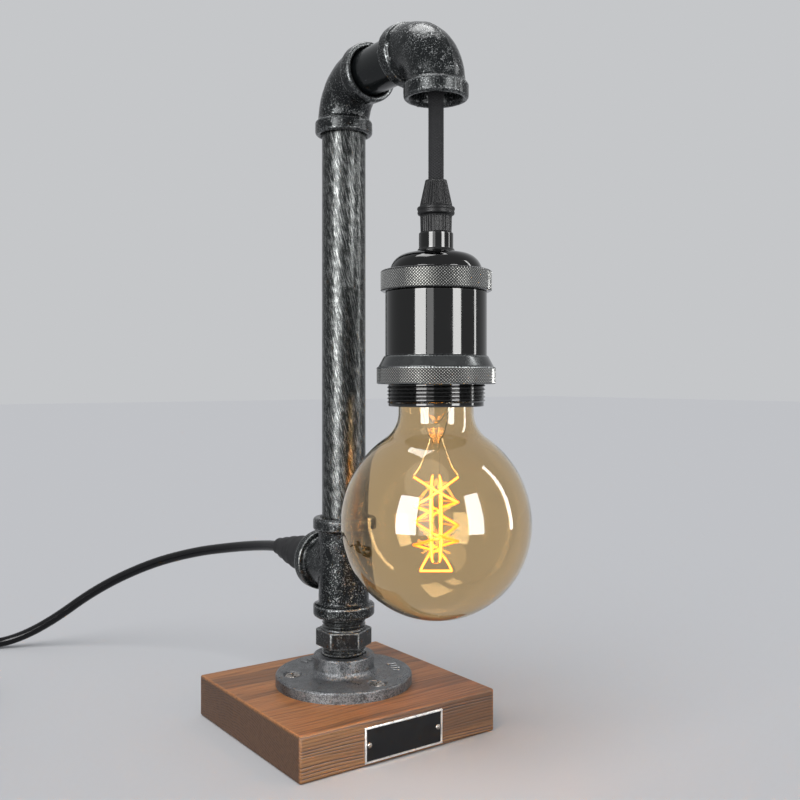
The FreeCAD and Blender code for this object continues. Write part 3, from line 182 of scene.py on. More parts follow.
class Seat(Enum):
    """Which way a turned shape's own upward axis points on the lamp."""

    UP = Matrix.Identity(4)
    BACK = Matrix.Rotation(math.radians(-90), 4, "X")
    FRONT = Matrix.Rotation(math.radians(90), 4, "X")
    DOWN = Matrix.Rotation(math.radians(180), 4, "X")

    def at(self, x: float = 0.0, y: float = 0.0, z: float = 0.0) -> Matrix:
        """Return the placement of a shape whose origin is at a point, in millimetres."""
        return Matrix.Translation((x, y, z)) @ self.value


def spin_about_z(degrees: float) -> Matrix:
    """Return a turn about the upward axis."""
    return Matrix.Rotation(math.radians(degrees), 4, "Z")


def put_in_scene(name: str, data: bpy.types.ID) -> bpy.types.Object:
    """Return a new object in the scene.

    Args:
        name: The object's name.
        data: What it shows.
    """
    item = bpy.data.objects.new(name, data)
    bpy.context.scene.collection.objects.link(item)
    return item


# Shading


class Graph:
    """Places and wires shader nodes in one node tree."""

    def __init__(self, tree: bpy.types.NodeTree) -> None:
        """Take the node tree to work in."""
        self.tree = tree

    def feed(self, socket: Socket, value: Feed) -> None:
        """Link a socket to another one, or set its own value.

        Args:
            socket: The input to feed.
            value: An output socket to link, or a plain value.
        """
        if isinstance(value, Socket):
            self.tree.links.new(value, socket)
        else:
            socket.default_value = (*value, 1.0) if socket.type == "RGBA" else value

    def add(self, kind: str, *terms: Feed, **values: object) -> bpy.types.Node:
        """Place a shader node.

        Args:
            kind: The node's type, without its ShaderNode prefix.
            *terms: What its first sockets are fed, in order.
            **values: Lower-case names set the node's own properties, and others feed the
                sockets of that name, with underscores for spaces.

        Returns:
            The new node.
        """
        item = self.tree.nodes.new("ShaderNode" + kind)
        for name, value in values.items():
            if name.islower():
                setattr(item, name, value)
            else:
                self.feed(item.inputs[name.replace("_", " ")], value)
        for socket, term in zip(item.inputs, terms):
            self.feed(socket, term)
        return item

    def calc(self, operation: str, *terms: Feed) -> Socket:
        """Return the result of a math node's operation on some terms."""
        return self.add("Math", *terms, operation=operation).outputs[0]

    def product(self, first: Feed, *others: Feed) -> Socket:
        """Return some terms multiplied together.

        Args:
            first: The first term.
            *others: The others, in order.
        """
        for other in others:
            first = self.calc("MULTIPLY", first, other)
        return first

    def span(
        self, value: Feed, low: Feed, high: Feed, start: float = 0.0, end: float = 1.0
    ) -> Socket:
        """Return a value carried smoothly from one range to another.

        Args:
            value: The value to carry over.
            low: Where the first range begins.
            high: Where the first range ends.
            start: What low becomes.
            end: What high becomes.
        """
        ranges = {"From_Min": low, "From_Max": high, "To_Min": start, "To_Max": end}
        item = self.add("MapRange", interpolation_type="SMOOTHSTEP", Value=value, **ranges)
        return item.outputs["Result"]

    def blend(self, factor: Feed, first: Feed, second: Feed) -> Socket:
        """Return a colour between two colours.

        Args:
            factor: The share of the second colour.
            first: The colour, or socket, at zero.
            second: The colour, or socket, at one.
        """
        item = self.add("Mix", factor, data_type="RGBA")
        self.feed(item.inputs[6], first)
        self.feed(item.inputs[7], second)
        return item.outputs[2]

    def stretch(self, vector: Feed, factors: Feed) -> Socket:
        """Return a vector multiplied by another, axis by axis."""
        return self.add("VectorMath", vector, factors, operation="MULTIPLY").outputs[0]

    def axes(self, vector: Feed) -> Sockets:
        """Return a vector's X, Y and Z by name."""
        return self.add("SeparateXYZ", vector).outputs

    def grain(self, vector: Feed, scale: Feed, detail: float = 3.0, rough: float = 0.6) -> Socket:
        """Return fractal noise between zero and one.

        Args:
            vector: Where the noise is read.
            scale: How fine it is.
            detail: How many octaves it has.
            rough: How strong its finer octaves are.
        """
        item = self.add("TexNoise", Vector=vector, Scale=scale, Detail=detail, Roughness=rough)
        return item.outputs[0]


@dataclass(frozen=True)
class Effect:
    """A shader node group that several finishes place, each with values of its own."""

    name: str
    inputs: dict[str, str]
    outputs: tuple[str, ...]
    wiring: Callable[[Graph, Sockets], Sockets]

    def tree(self) -> bpy.types.NodeTree:
        """Return the group's node tree, built the first time it is asked for."""
        found = bpy.data.node_groups.get(self.name)
        if found:
            return found
        tree = bpy.data.node_groups.new(self.name, "ShaderNodeTree")
        for label, kind in self.inputs.items():
            tree.interface.new_socket(label, in_out="INPUT", socket_type="NodeSocket" + kind)
        for label in self.outputs:
            tree.interface.new_socket(label, in_out="OUTPUT", socket_type="NodeSocketFloat")
        graph = Graph(tree)
        source = tree.nodes.new("NodeGroupInput").outputs
        sink = tree.nodes.new("NodeGroupOutput").inputs
        results = self.wiring(graph, {label: source[label] for label in self.inputs})
        for label, value in results.items():
            graph.feed(sink[label], value)
        return tree

    def place(self, graph: Graph, **values: Feed) -> Sockets:
        """Place the group in a material.

        Args:
            graph: The material's nodes.
            **values: What each of the group's inputs is fed.

        Returns:
            The group's outputs by name.
        """
        item = graph.add("Group")
        item.node_tree = self.tree()
        for label, value in values.items():
            graph.feed(item.inputs[label], value)
        return {label: item.outputs[label] for label in self.outputs}


def wire_dry_brush(graph: Graph, given: Sockets) -> Sockets:
    """Wire broken strokes of bright paint dragged over a dark coat.

    Args:
        graph: The group's nodes.
        given: What it is fed, by name.

    Returns:
        What it gives out, by name.
    """
    place, scale, soft = given["Vector"], given["Scale"], 0.035
    strokes = graph.grain(graph.stretch(place, given["Stretch"]), scale, 5.0, 0.68)
    specks = graph.grain(place, graph.product(scale, 2.7), 2.0, 0.5)
    clouds = graph.grain(place, graph.product(scale, 0.16), 2.0, 0.5)
    level = graph.calc("MULTIPLY_ADD", strokes, 0.62, graph.product(specks, 0.38))
    level = graph.calc("MULTIPLY_ADD", graph.calc("SUBTRACT", clouds, 0.5), 0.15, level)
    level = graph.calc("MULTIPLY_ADD", given["Wear"], 0.16, level)
    edge = graph.calc("SUBTRACT", 1.0, given["Density"])
    mask = graph.span(level, graph.calc("SUBTRACT", edge, soft), graph.calc("ADD", edge, soft))
    return {"Mask": mask, "Height": graph.calc("MULTIPLY_ADD", mask, 0.3, level)}


def wire_edge_wear(graph: Graph, given: Sockets) -> Sockets:
    """Wire the places where raised edges are rubbed down to bright metal.

    Args:
        graph: The group's nodes.
        given: What it is fed, by name.

    Returns:
        What it gives out, by name.
    """
    edges = graph.add("Attribute", attribute_name="wear").outputs["Fac"]
    broken = graph.grain(given["Vector"], given["Scale"], 4.0, 0.65)
    return {"Mask": graph.product(edges, graph.span(broken, 0.3, 0.62), given["Amount"])}


def wire_unevenness(graph: Graph, given: Sockets) -> Sockets:
    """Wire a broad, soft change of level, for handling marks and uneven gloss.

    Args:
        graph: The group's nodes.
        given: What it is fed, by name.

    Returns:
        What it gives out, by name.
    """
    clouds = graph.grain(given["Vector"], given["Scale"], 4.0, 0.55)
    width = graph.calc("SUBTRACT", given["High"], given["Low"])
    share = graph.span(clouds, 0.3, 0.7)
    return {"Level": graph.calc("MULTIPLY_ADD", share, width, given["Low"])}


PLACED = {"Vector": "Vector", "Scale": "Float"}
DRY_BRUSH = Effect(
    "dry_brush",
    {**PLACED, "Stretch": "Vector", "Density": "Float", "Wear": "Float"},
    ("Mask", "Height"),
    wire_dry_brush,
)
EDGE_WEAR = Effect("edge_wear", {**PLACED, "Amount": "Float"}, ("Mask",), wire_edge_wear)
UNEVENNESS = Effect(
    "unevenness", {**PLACED, "Low": "Float", "High": "Float"}, ("Level",), wire_unevenness
)


class Surface(Graph):
    """The nodes of one material, its shader and the piece's own coordinates, in metres."""

    def __init__(self, material: bpy.types.Material) -> None:
        """Give a material nodes of its own.

        Args:
            material: The material to dress.
        """
        material.use_nodes = True
        super().__init__(material.node_tree)
        self.shader = material.node_tree.nodes["Principled BSDF"]
        self.place = self.add("TexCoord").outputs["Object"]

    def give(self, **values: Feed) -> None:
        """Feed the shader's sockets, whose names have underscores for spaces here."""
        for name, value in values.items():
            self.feed(self.shader.inputs[name.replace("_", " ")], value)

    def emboss(self, height: Socket, depth: float) -> None:
        """Give the shader a relief.

        Args:
            height: The relief, from zero to one.
            depth: How deep the relief is, in metres.
        """
        bump = self.add("Bump", Height=height, Distance=depth, Strength=1.0)
        self.give(Normal=bump.outputs["Normal"])

    def wear(self, scale: float, amount: float) -> Socket:
        """Return how far a spot is rubbed bright, broken up at a scale."""
        return EDGE_WEAR.place(self, Vector=self.place, Scale=scale, Amount=amount)["Mask"]

    def uneven(self, scale: float, low: float, high: float) -> Socket:
        """Return a level that wanders softly between two others, at a scale."""
        values = {"Vector": self.place, "Scale": scale, "Low": low, "High": high}
        return UNEVENNESS.place(self, **values)["Level"]


def shade(colour: Colour, level: float) -> Colour:
    """Return a colour at another level of brightness."""
    return tuple(level * part for part in colour)


@dataclass(frozen=True)
class Finish:
    """A finish that a piece of the lamp can be given."""

    name: str

    def material(self) -> bpy.types.Material:
        """Return the finish as a material, made the first time it is asked for."""
        label = self.name + "_finish"
        made = bpy.data.materials.get(label)
        if not made:
            made = bpy.data.materials.new(label)
            self.dress(Surface(made))
        return made

    def dress(self, on: Surface) -> None:
        """Wire the finish into a surface's nodes."""
        raise NotImplementedError


@dataclass(frozen=True)
class DryBrushedIron(Finish):
    """Iron under a glossy black coat, dry-brushed with silver and rubbed bright at its edges."""

    stretch: Point = (1.0, 1.0, 1.0)
    scale: float = 420.0
    density: float = 0.46
    dark: Colour = (0.006, 0.0072, 0.0075)
    bright: Colour = (0.27, 0.28, 0.28)
    pitting: float = 0.00005
    gloss: float = 0.14
    index: float = 1.32
    twist: float = 0.0

    def dress(self, on: Surface) -> None:
        """Wire the black coat, the brushed silver and the cast skin.

        Args:
            on: The surface's nodes.
        """
        if self.twist:
            turn = on.product(on.axes(on.place)["Z"], self.twist)
            turned = on.add("VectorRotate", rotation_type="Z_AXIS", Vector=on.place, Angle=turn)
            on.place = turned.outputs[0]
        wear = on.wear(900.0, 1.0)
        values = {"Stretch": self.stretch, "Scale": self.scale, "Density": self.density}
        brushed = DRY_BRUSH.place(on, Vector=on.place, Wear=wear, **values)
        silver = on.calc("MAXIMUM", brushed["Mask"], on.product(wear, 0.8))
        tone = on.grain(on.place, 60.0, 2.0)
        coat = on.blend(tone, self.dark, shade(self.dark, 2.2))
        metal = on.blend(tone, shade(self.bright, 0.75), self.bright)
        gloss = on.uneven(130.0, self.gloss * 0.8, self.gloss * 1.5)
        on.give(
            Base_Color=on.blend(silver, coat, metal),
            Metallic=on.span(silver, 0.0, 1.0, 0.3, 1.0),
            Roughness=on.calc("MULTIPLY_ADD", silver, 0.16, gloss),
            IOR=self.index,
        )
        on.emboss(brushed["Height"], self.pitting)


@dataclass(frozen=True)
class BlackNickel(Finish):
    """Brass under polished black nickel plate."""

    tint: Colour = (0.040, 0.040, 0.0395)
    roughness: float = 0.06
    wear_and_glint: float = 4.5
    rubbing_and_glint: float = 0.6
    grit: float = 1500.0
    turning: float = 0.0000015

    def dress(self, on: Surface) -> None:
        """Wire the plate, its faint turning marks and its rubbed edges, which on the knurled rings are partly a
        painted highlight on the crowns.

        Args:
            on: The surface's nodes.
        """
        # Rubbed spots lighter: real wear, and on the knurled rings partly a painted highlight on the crowns.
        wear = on.wear(self.grit, self.rubbing_and_glint)
        level = on.uneven(90.0, self.roughness * 0.7, self.roughness * 1.7)
        on.give(
            Base_Color=on.blend(wear, self.tint, shade(self.tint, self.wear_and_glint)),
            Metallic=1.0,
            Roughness=on.calc("MULTIPLY_ADD", wear, 0.15, level),
        )
        on.emboss(on.grain(on.stretch(on.place, (1.0, 1.0, 40.0)), 60.0, 2.0), self.turning)


@dataclass(frozen=True)
class PlainMetal(Finish):
    """Bare or plated metal on small parts."""

    tint: Colour = (0.72, 0.71, 0.69)
    tarnish: Colour = (0.30, 0.24, 0.19)
    roughness: float = 0.25
    grit: float = 0.00001

    def dress(self, on: Surface) -> None:
        """Wire bright metal with tarnish in patches.

        Args:
            on: The surface's nodes.
        """
        patches = on.span(on.grain(on.place, 700.0, 4.0), 0.50, 0.75)
        on.give(
            Base_Color=on.blend(patches, self.tint, self.tarnish),
            Metallic=1.0,
            Roughness=on.uneven(500.0, self.roughness * 0.8, self.roughness * 1.5),
        )
        on.emboss(on.grain(on.place, 2500.0, 2.0), self.grit)


@dataclass(frozen=True)
class Moulded(Finish):
    """Plastic, rubber or ceramic straight from its mould."""

    tint: Colour = (0.012, 0.012, 0.013)
    roughness: float = 0.45
    skin: float = 0.00002
    skin_scale: float = 1800.0
    glaze: float = 0.0
    index: float = 1.3

    def dress(self, on: Surface) -> None:
        """Wire the colour, uneven gloss, rubbed edges and moulded skin.

        Args:
            on: The surface's nodes.
        """
        pale = tuple(min(1.0, part * 1.8 + 0.02) for part in self.tint)
        tone = on.blend(on.grain(on.place, 240.0, 3.0), self.tint, shade(self.tint, 1.25))
        on.give(
            Base_Color=on.blend(on.wear(1100.0, 0.5), tone, pale),
            Roughness=on.uneven(150.0, self.roughness * 0.85, min(1.0, self.roughness * 1.2)),
            Coat_Weight=self.glaze,
            IOR=self.index,
        )
        on.emboss(on.grain(on.place, self.skin_scale, 3.0), self.skin)


@dataclass(frozen=True)
class OiledWood(Finish):
    """Stained and oiled softwood, sawn so that its yearly rings run along the length."""

    early: Colour = (0.450, 0.180, 0.052)
    honey: Colour = (0.440, 0.205, 0.062)
    late: Colour = (0.040, 0.014, 0.006)
    heart: Point = (0.0, 0.016, -0.100)
    rings: float = 780.0
    wander: float = 0.010
    relief: float = 0.0002
    reach: tuple[float, float] = (0.053, 0.0505)
    top: float = 0.020

    def drawn_out(self, on: Surface, share: float, scale: float, *shape: float) -> Socket:
        """Return noise that is drawn out along the block, as its fibres are.

        Args:
            on: The surface's nodes.
            share: How much slower it changes along the block than across it.
            scale: How fine it is.
            *shape: The noise's own detail and roughness.
        """
        return on.grain(on.stretch(on.place, (share, 1.0, 1.0)), scale, *shape)

    def rubbed(self, on: Surface) -> Socket:
        """Return how near a spot is to one of the block's edges.

        Args:
            on: The surface's nodes.
        """
        along = on.axes(on.place)
        sides = [on.calc("ABSOLUTE", along[axis]) for axis in "XY"]
        x, y = (on.calc("SUBTRACT", side, reach) for side, reach in zip(sides, self.reach))
        z = on.calc("SUBTRACT", along["Z"], self.top)
        edges = [on.calc("MINIMUM", first, second) for first, second in ((x, y), (y, z), (x, z))]
        nearest = on.calc("MAXIMUM", on.calc("MAXIMUM", edges[0], edges[1]), edges[2])
        return on.span(nearest, -0.0016, -0.0003)

    def late_wood(self, on: Surface) -> Socket:
        """Return how far a spot lies in a year's dark late wood, some years fainter.

        Args:
            on: The surface's nodes.
        """
        across = on.stretch(on.place, (0.0, 1.0, 1.0))
        offset = on.add("VectorMath", across, self.heart, operation="SUBTRACT").outputs[0]
        radius = on.add("VectorMath", offset, operation="LENGTH").outputs["Value"]
        wander = self.drawn_out(on, 0.22, 24.0, 3.0)
        warped = on.calc("MULTIPLY_ADD", wander, self.wander, radius)
        rings = on.calc("FRACT", on.product(warped, self.rings))
        years = on.span(self.drawn_out(on, 0.03, 420.0, 1.0), 0.38, 0.62, 0.30, 1.0)
        return on.product(on.span(rings, 0.40, 0.80), on.span(rings, 1.0, 0.92), years)

    def dress(self, on: Surface) -> None:
        """Wire yearly rings about a far heart, with fibres, dark stripes, end faces darker partly as end grain and
        partly as painted shade, and edges lighter partly as rubbed wear and partly as a painted highlight.

        Args:
            on: The surface's nodes.
        """
        normal = on.axes(on.add("TexCoord").outputs["Normal"])
        sanded, sawn = (on.span(on.calc("ABSOLUTE", normal[axis]), 0.5, 0.9) for axis in "ZX")
        late = self.late_wood(on)
        fibre = self.drawn_out(on, 0.04, 1100.0, 4.0, 0.7)
        pores = on.span(self.drawn_out(on, 0.06, 2600.0, 2.0), 0.62, 0.72)
        stripes = on.span(self.drawn_out(on, 0.10, 46.0, 2.0), 0.50, 0.60)
        ground = on.blend(sanded, self.honey, self.early)
        tone = on.blend(on.span(fibre, 0.25, 0.75), ground, shade(self.early, 0.60))
        tone = on.blend(on.product(stripes, 0.75), tone, shade(self.early, 0.34))
        # End faces much darker: partly real end grain, partly painted shade.
        tone = on.blend(on.product(sawn, 0.92), tone, shade(self.early, 0.21))
        depth = on.calc("MULTIPLY_ADD", sanded, -0.48, 1.0)
        rings = on.product(late, on.span(fibre, 0.1, 0.8, 0.6, 1.0), depth)
        tone = on.blend(rings, tone, self.late)
        tone = on.blend(on.product(pores, 0.45), tone, self.late)
        # Edges lighter: partly rubbed wear, partly a painted highlight along the rounded edges.
        wear_and_glint = on.product(self.rubbed(on), on.span(fibre, 0.35, 0.6, 0.1, 0.6))
        on.give(
            Base_Color=on.blend(wear_and_glint, tone, shade(self.early, 1.15)),
            Roughness=on.calc("MULTIPLY_ADD", fibre, 0.20, 0.38),
        )
        sunk = on.product(depth, on.calc("MULTIPLY_ADD", sawn, -0.4, 1.0))
        grooves = on.product(on.calc("SUBTRACT", 1.0, late), sunk)
        height = on.calc("MULTIPLY_ADD", grooves, 0.7, on.product(fibre, 0.3))
        on.emboss(height, self.relief)


@dataclass(frozen=True)
class Glass(Finish):
    """Clear or tinted glass."""

    tint: Colour = (1.0, 1.0, 1.0)
    shine: float = 0.5
    index: float = 1.46
    waves: float = 0.00012

    def dress(self, on: Surface) -> None:
        """Wire the glass, with the faintest waviness of blown work.

        Args:
            on: The surface's nodes.
        """
        on.give(
            Base_Color=self.tint,
            Specular_IOR_Level=self.shine,
            Transmission_Weight=1.0,
            Roughness=0.0,
            IOR=self.index,
        )
        on.emboss(on.grain(on.place, 45.0, 1.0), self.waves)


@dataclass(frozen=True)
class Glow(Finish):
    """A wire that is hot enough to glow, and what it throws on the pieces about it; on the filament's hooks the glow
    is painted.
    """

    heat: Colour = (1.0, 0.40, 0.06)
    rim: Colour = (0.42, 0.075, 0.003)
    spill: float = 5.0
    strength: float = 10.0

    def dress(self, on: Surface) -> None:
        """Wire the glow: yellow in the middle of the wire, orange where it turns away.

        Args:
            on: The surface's nodes.
        """
        core = on.blend(on.grain(on.place, 260.0, 2.0), shade(self.heat, 0.8), self.heat)
        turned = on.span(on.add("LayerWeight").outputs["Facing"], 0.02, 0.32)
        path = on.add("LightPath").outputs
        bounces = on.calc("ADD", path["Diffuse Depth"], path["Glossy Depth"])
        thrown = on.calc("GREATER_THAN", bounces, 0.5)
        seen = on.blend(turned, core, self.rim)
        on.give(
            Base_Color=(0.2, 0.1, 0.05),
            Emission_Color=on.blend(thrown, seen, shade(self.heat, self.spill)),
            Emission_Strength=self.strength,
        )


@dataclass(frozen=True)
class Yarn(Finish):
    """Dull textile yarn."""

    tint: Colour = (0.009, 0.009, 0.0095)
    fuzz: float = 0.00005

    def dress(self, on: Surface) -> None:
        """Wire fine fibres, a dusty sheen and a painted highlight where the yarn stands out.

        Args:
            on: The surface's nodes.
        """
        fibre = on.grain(on.place, 5200.0, 3.0, 0.7)
        yarn = on.blend(fibre, self.tint, shade(self.tint, 2.6))
        # Standing yarn eight times lighter: painted highlight.
        on.give(
            Base_Color=on.blend(on.wear(1.0, 1.2), yarn, shade(self.tint, 8.0)),
            Roughness=on.span(fibre, 0.2, 0.8, 0.62, 0.9),
            Sheen_Weight=0.05,
            IOR=1.25,
        )
        on.emboss(fibre, self.fuzz)


FITTING = DryBrushedIron("dry_brushed_casting", scale=1400.0, density=0.42)
COLUMN = DryBrushedIron(
    "dry_brushed_pipe",
    stretch=(1.0, 1.0, 0.09),
    scale=2300.0,
    density=0.455,
    dark=(0.010, 0.0115, 0.011),
    bright=(0.22, 0.228, 0.224),
    pitting=0.00002,
    gloss=0.17,
    twist=24.0,
)
ARM = DryBrushedIron(
    "dry_brushed_arm", stretch=(1.0, 0.14, 1.0), scale=700.0, density=0.36, pitting=0.00002
)
FLANGE = DryBrushedIron(
    "gunmetal_flange",
    scale=1300.0,
    density=0.50,
    dark=(0.034, 0.036, 0.039),
    bright=(0.22, 0.225, 0.23),
    gloss=0.30,
)
HEXAGON = DryBrushedIron(
    "rubbed_hexagon", scale=1200.0, density=0.40, dark=(0.012, 0.012, 0.012), gloss=0.24
)
THREAD = DryBrushedIron("oiled_thread", scale=700.0, density=0.36, dark=(0.008, 0.008, 0.008))
NICKEL = BlackNickel("black_nickel")
# Knurled crowns far lighter than the plate: partly rubbed wear, partly a painted highlight.
KNURLED = BlackNickel(
    "knurled_nickel", (0.026, 0.026, 0.025), roughness=0.10, wear_and_glint=26.0, rubbing_and_glint=2.3, grit=1.0
)
SATIN = BlackNickel("satin_nickel", (0.075, 0.078, 0.078), roughness=0.20)
SCREW = PlainMetal("plated_screw")
# Darker tint and tarnish: partly oiled steel, partly painted shade of the screws' holes.
OILED_AND_SHADED_SCREW = PlainMetal("oiled_and_shaded_screw", (0.36, 0.33, 0.30), (0.06, 0.05, 0.045), 0.24)
BRASS = PlainMetal("brass_contact", (0.66, 0.50, 0.22))
CAP_METAL = PlainMetal("bulb_cap_metal", (0.72, 0.71, 0.68), (0.5, 0.48, 0.45))
BORDER = PlainMetal("nameplate_border", (0.80, 0.79, 0.76), (0.60, 0.58, 0.55), 0.32)
WOOD = OiledWood("oiled_softwood")
FIELD = Moulded("nameplate_field", (0.011, 0.011, 0.012), 0.36, skin=0.000006)
RUBBER = Moulded("black_rubber", (0.013, 0.013, 0.014), 0.52)
PVC = Moulded("black_pvc", (0.006, 0.006, 0.007), 0.16, skin=0.000008, skin_scale=700.0)
PLASTIC = Moulded("black_plastic", (0.009, 0.009, 0.0095), 0.40)
CERAMIC = Moulded("glazed_ceramic", (0.80, 0.78, 0.72), 0.25, glaze=0.6, index=1.5)
INSULATION = Moulded("brown_insulation", (0.16, 0.06, 0.025), 0.4)
BLACK_GLASS = Moulded("black_glass", (0.01, 0.01, 0.01), 0.08, skin=0.0)
AMBER = Glass("amber_glass", (0.82, 0.68, 0.465), shine=0.12)
STEM_GLASS = Glass("stem_glass", (0.96, 0.95, 0.92), index=1.22)
FILAMENT = Glow("filament_glow")
# The hooks' glow is painted: it stands for the filament's light falling on them.
HOOK_PAINTED_GLOW = Glow("hook_painted_glow", (0.60, 0.17, 0.015), (0.30, 0.06, 0.004), spill=0.5, strength=3.0)
BRAID = Yarn("black_braid")
STRAP = Yarn("woven_strap", (0.02, 0.02, 0.022))


# Mesh working


class Workpiece:
    """A mesh worked in millimetres, then handed over as one piece of the lamp."""

    def __init__(self, name: str, *finishes: Finish) -> None:
        """Start an empty piece.

        Args:
            name: The piece's name.
            *finishes: What its faces can be given, in order.
        """
        self.name = name
        self.finishes = finishes
        self.mesh = bmesh.new()
        self.finish = 0

    def settle(self, known: set[bmesh.types.BMFace], seat: Matrix) -> Faces:
        """Put newly made faces in their place.

        Args:
            known: The faces that were there before.
            seat: Where the new ones go.

        Returns:
            The new faces.
        """
        fresh = [face for face in self.mesh.faces if face not in known]
        corners = list({corner for face in fresh for corner in face.verts})
        bmesh.ops.remove_doubles(self.mesh, verts=corners, dist=1e-4)
        rims = [edge for edge in self.mesh.edges if edge.is_boundary]
        bmesh.ops.holes_fill(self.mesh, edges=rims)
        fresh = [face for face in self.mesh.faces if face not in known]
        corners = list({corner for face in fresh for corner in face.verts})
        bmesh.ops.recalc_face_normals(self.mesh, faces=fresh)
        bmesh.ops.transform(self.mesh, matrix=seat, verts=corners)
        for face in fresh:
            face.material_index = self.finish
        return fresh

    def bevel(self, affect: str, geom: Iterable, width: float, segments: int) -> None:
        """Round some corners or edges.

        Args:
            affect: VERTICES or EDGES.
            geom: The corners or edges.
            width: How wide the rounding is.
            segments: How many facets it has.
        """
        bmesh.ops.bevel(
            self.mesh,
            geom=list(geom),
            offset=width,
            segments=segments,
            profile=0.5,
            affect=affect,
            clamp_overlap=True,
            material=-1,
        )

    def lathe(
        self,
        outline: Outline,
        seat: Matrix = Seat.UP.value,
        sides: int = 96,
        soften: float = 0.0,
        segments: int = 3,
        closed: bool = False,
    ) -> Faces:
        """Turn an outline of (radius, height) corners about the upward axis.

        Args:
            outline: The corners, in order.
            seat: Where the turned shape goes.
            sides: How many steps the turn takes.
            soften: The length by which each corner between two runs is rounded.
            segments: How many facets a rounded corner has.
            closed: Whether the last corner joins the first.

        Returns:
            The new faces.
        """
        known, longest, loop = set(self.mesh.faces), 2.0, 0.5
        corners = [self.mesh.verts.new((radius, 0.0, height)) for radius, height in outline]
        for pair in zip(corners, corners[1:] + corners[:1] if closed else corners[1:]):
            self.mesh.edges.new(pair)
        if soften:
            self.bevel("VERTICES", corners if closed else corners[1:-1], soften, segments)
        for run in [edge for edge in self.mesh.edges if not edge.link_faces]:
            for end in tuple(run.verts):
                length = run.calc_length()
                if length > longest:
                    bmesh.utils.edge_split(run, end, loop / length)
        wire = [vert for vert in self.mesh.verts if not vert.link_faces]
        wire += [edge for edge in self.mesh.edges if not edge.link_faces]
        self.spin(wire, math.tau, sides, use_merge=True)
        return self.settle(known, seat)

    def spin(self, geom: list, angle: float, steps: int, **how: object) -> None:
        """Spin some geometry about the upward axis.

        Args:
            geom: What is spun.
            angle: How far, in radians.
            steps: How many steps it takes.
            **how: The operator's other settings.
        """
        place = {"cent": (0, 0, 0), "axis": (0, 0, 1), **how}
        bmesh.ops.spin(self.mesh, geom=geom, angle=angle, steps=steps, **place)

    def ridge(
        self,
        radius: float,
        depth: float,
        pitch: float,
        length: float,
        seat: Matrix = Seat.UP.value,
        sides: int = 48,
        width: float = 0.8,
    ) -> Faces:
        """Wind a screw thread's ridge up the upward axis.

        Args:
            radius: The radius at the ridge's foot.
            depth: How far its crest stands out.
            pitch: How far it climbs in a turn.
            length: How far it climbs in all.
            seat: Where it starts.
            sides: Steps in a turn.
            width: The share of the pitch that its foot covers.

        Returns:
            The new faces.
        """
        known, sunk = set(self.mesh.faces), radius - 0.12
        section = ((sunk, 0.0), (radius + depth, width * pitch / 2), (sunk, width * pitch))
        corners = [self.mesh.verts.new((across, 0.0, height)) for across, height in section]
        turns = max(0.5, length / pitch - width)
        steps = max(2, round(turns * sides))
        climb = (0, 0, turns * pitch / steps)
        face = self.mesh.faces.new(corners)
        self.spin([face], math.tau * turns, steps, dvec=climb, use_merge=False)
        return self.settle(known, seat)

    def block(
        self, low: Point, high: Point, soften: float = 0.0, seat: Matrix = Seat.UP.value
    ) -> Faces:
        """Make a block between two corners.

        Args:
            low: Its lowest corner.
            high: Its highest corner.
            soften: How far its edges are rounded.
            seat: Where it goes.

        Returns:
            The new faces.
        """
        known = set(self.mesh.faces)
        low_corner, high_corner = Vector(low), Vector(high)
        scale = Matrix.Diagonal((*(high_corner - low_corner), 1.0))
        centre = Matrix.Translation((low_corner + high_corner) / 2)
        made = bmesh.ops.create_cube(self.mesh, size=1.0, matrix=centre @ scale)["verts"]
        if soften:
            self.bevel("EDGES", {edge for vert in made for edge in vert.link_edges}, soften, 3)
        return self.settle(known, seat)

    def round_edges(
        self, faces: Faces, width: float, fold: float = -1.0, flat_at: float | None = None
    ) -> None:
        """Round the edges of some faces.

        Args:
            faces: The faces.
            width: How wide the rounding is.
            fold: The fold, in radians, above which an edge is rounded.
            flat_at: The height at which level edges stay sharp, if any.
        """
        edges = {e for face in faces for e in face.edges if e.calc_face_angle(0) > fold}
        if flat_at is not None:
            edges = {e for e in edges if any(abs(v.co.z - flat_at) >= 1e-4 for v in e.verts)}
        self.bevel("EDGES", edges, width, 3)

    def prism(
        self, plan: Outline, low: float, high: float, seat: Matrix = Seat.UP.value
    ) -> Faces:
        """Raise a flat outline into a closed solid.

        Args:
            plan: The outline's corners as (x, y).
            low: Where the solid starts.
            high: Where it ends.
            seat: Where it goes.

        Returns:
            The new faces.
        """
        known = set(self.mesh.faces)
        floor = self.mesh.faces.new([self.mesh.verts.new((x, y, low)) for x, y in plan])
        raised = bmesh.ops.extrude_face_region(self.mesh, geom=[floor], use_keep_orig=True)
        tops = [item for item in raised["geom"] if isinstance(item, bmesh.types.BMVert)]
        bmesh.ops.translate(self.mesh, vec=(0, 0, high - low), verts=tops)
        return self.settle(known, seat)

    def draw_in(self, kept: Callable[[float, float, float], float]) -> None:
        """Draw each corner of the mesh in towards the upward axis.

        Args:
            kept: Gives the share of a corner's radius that is left, from that radius, the
                corner's turn in radians and its height.
        """
        for vert in self.mesh.verts:
            share = kept(vert.co.xy.length, math.atan2(vert.co.y, vert.co.x), vert.co.z)
            vert.co.x *= share
            vert.co.y *= share

    def shift(self, y: float) -> None:
        """Move the whole mesh to the back, in millimetres."""
        bmesh.ops.translate(self.mesh, vec=(0, y, 0), verts=self.mesh.verts)

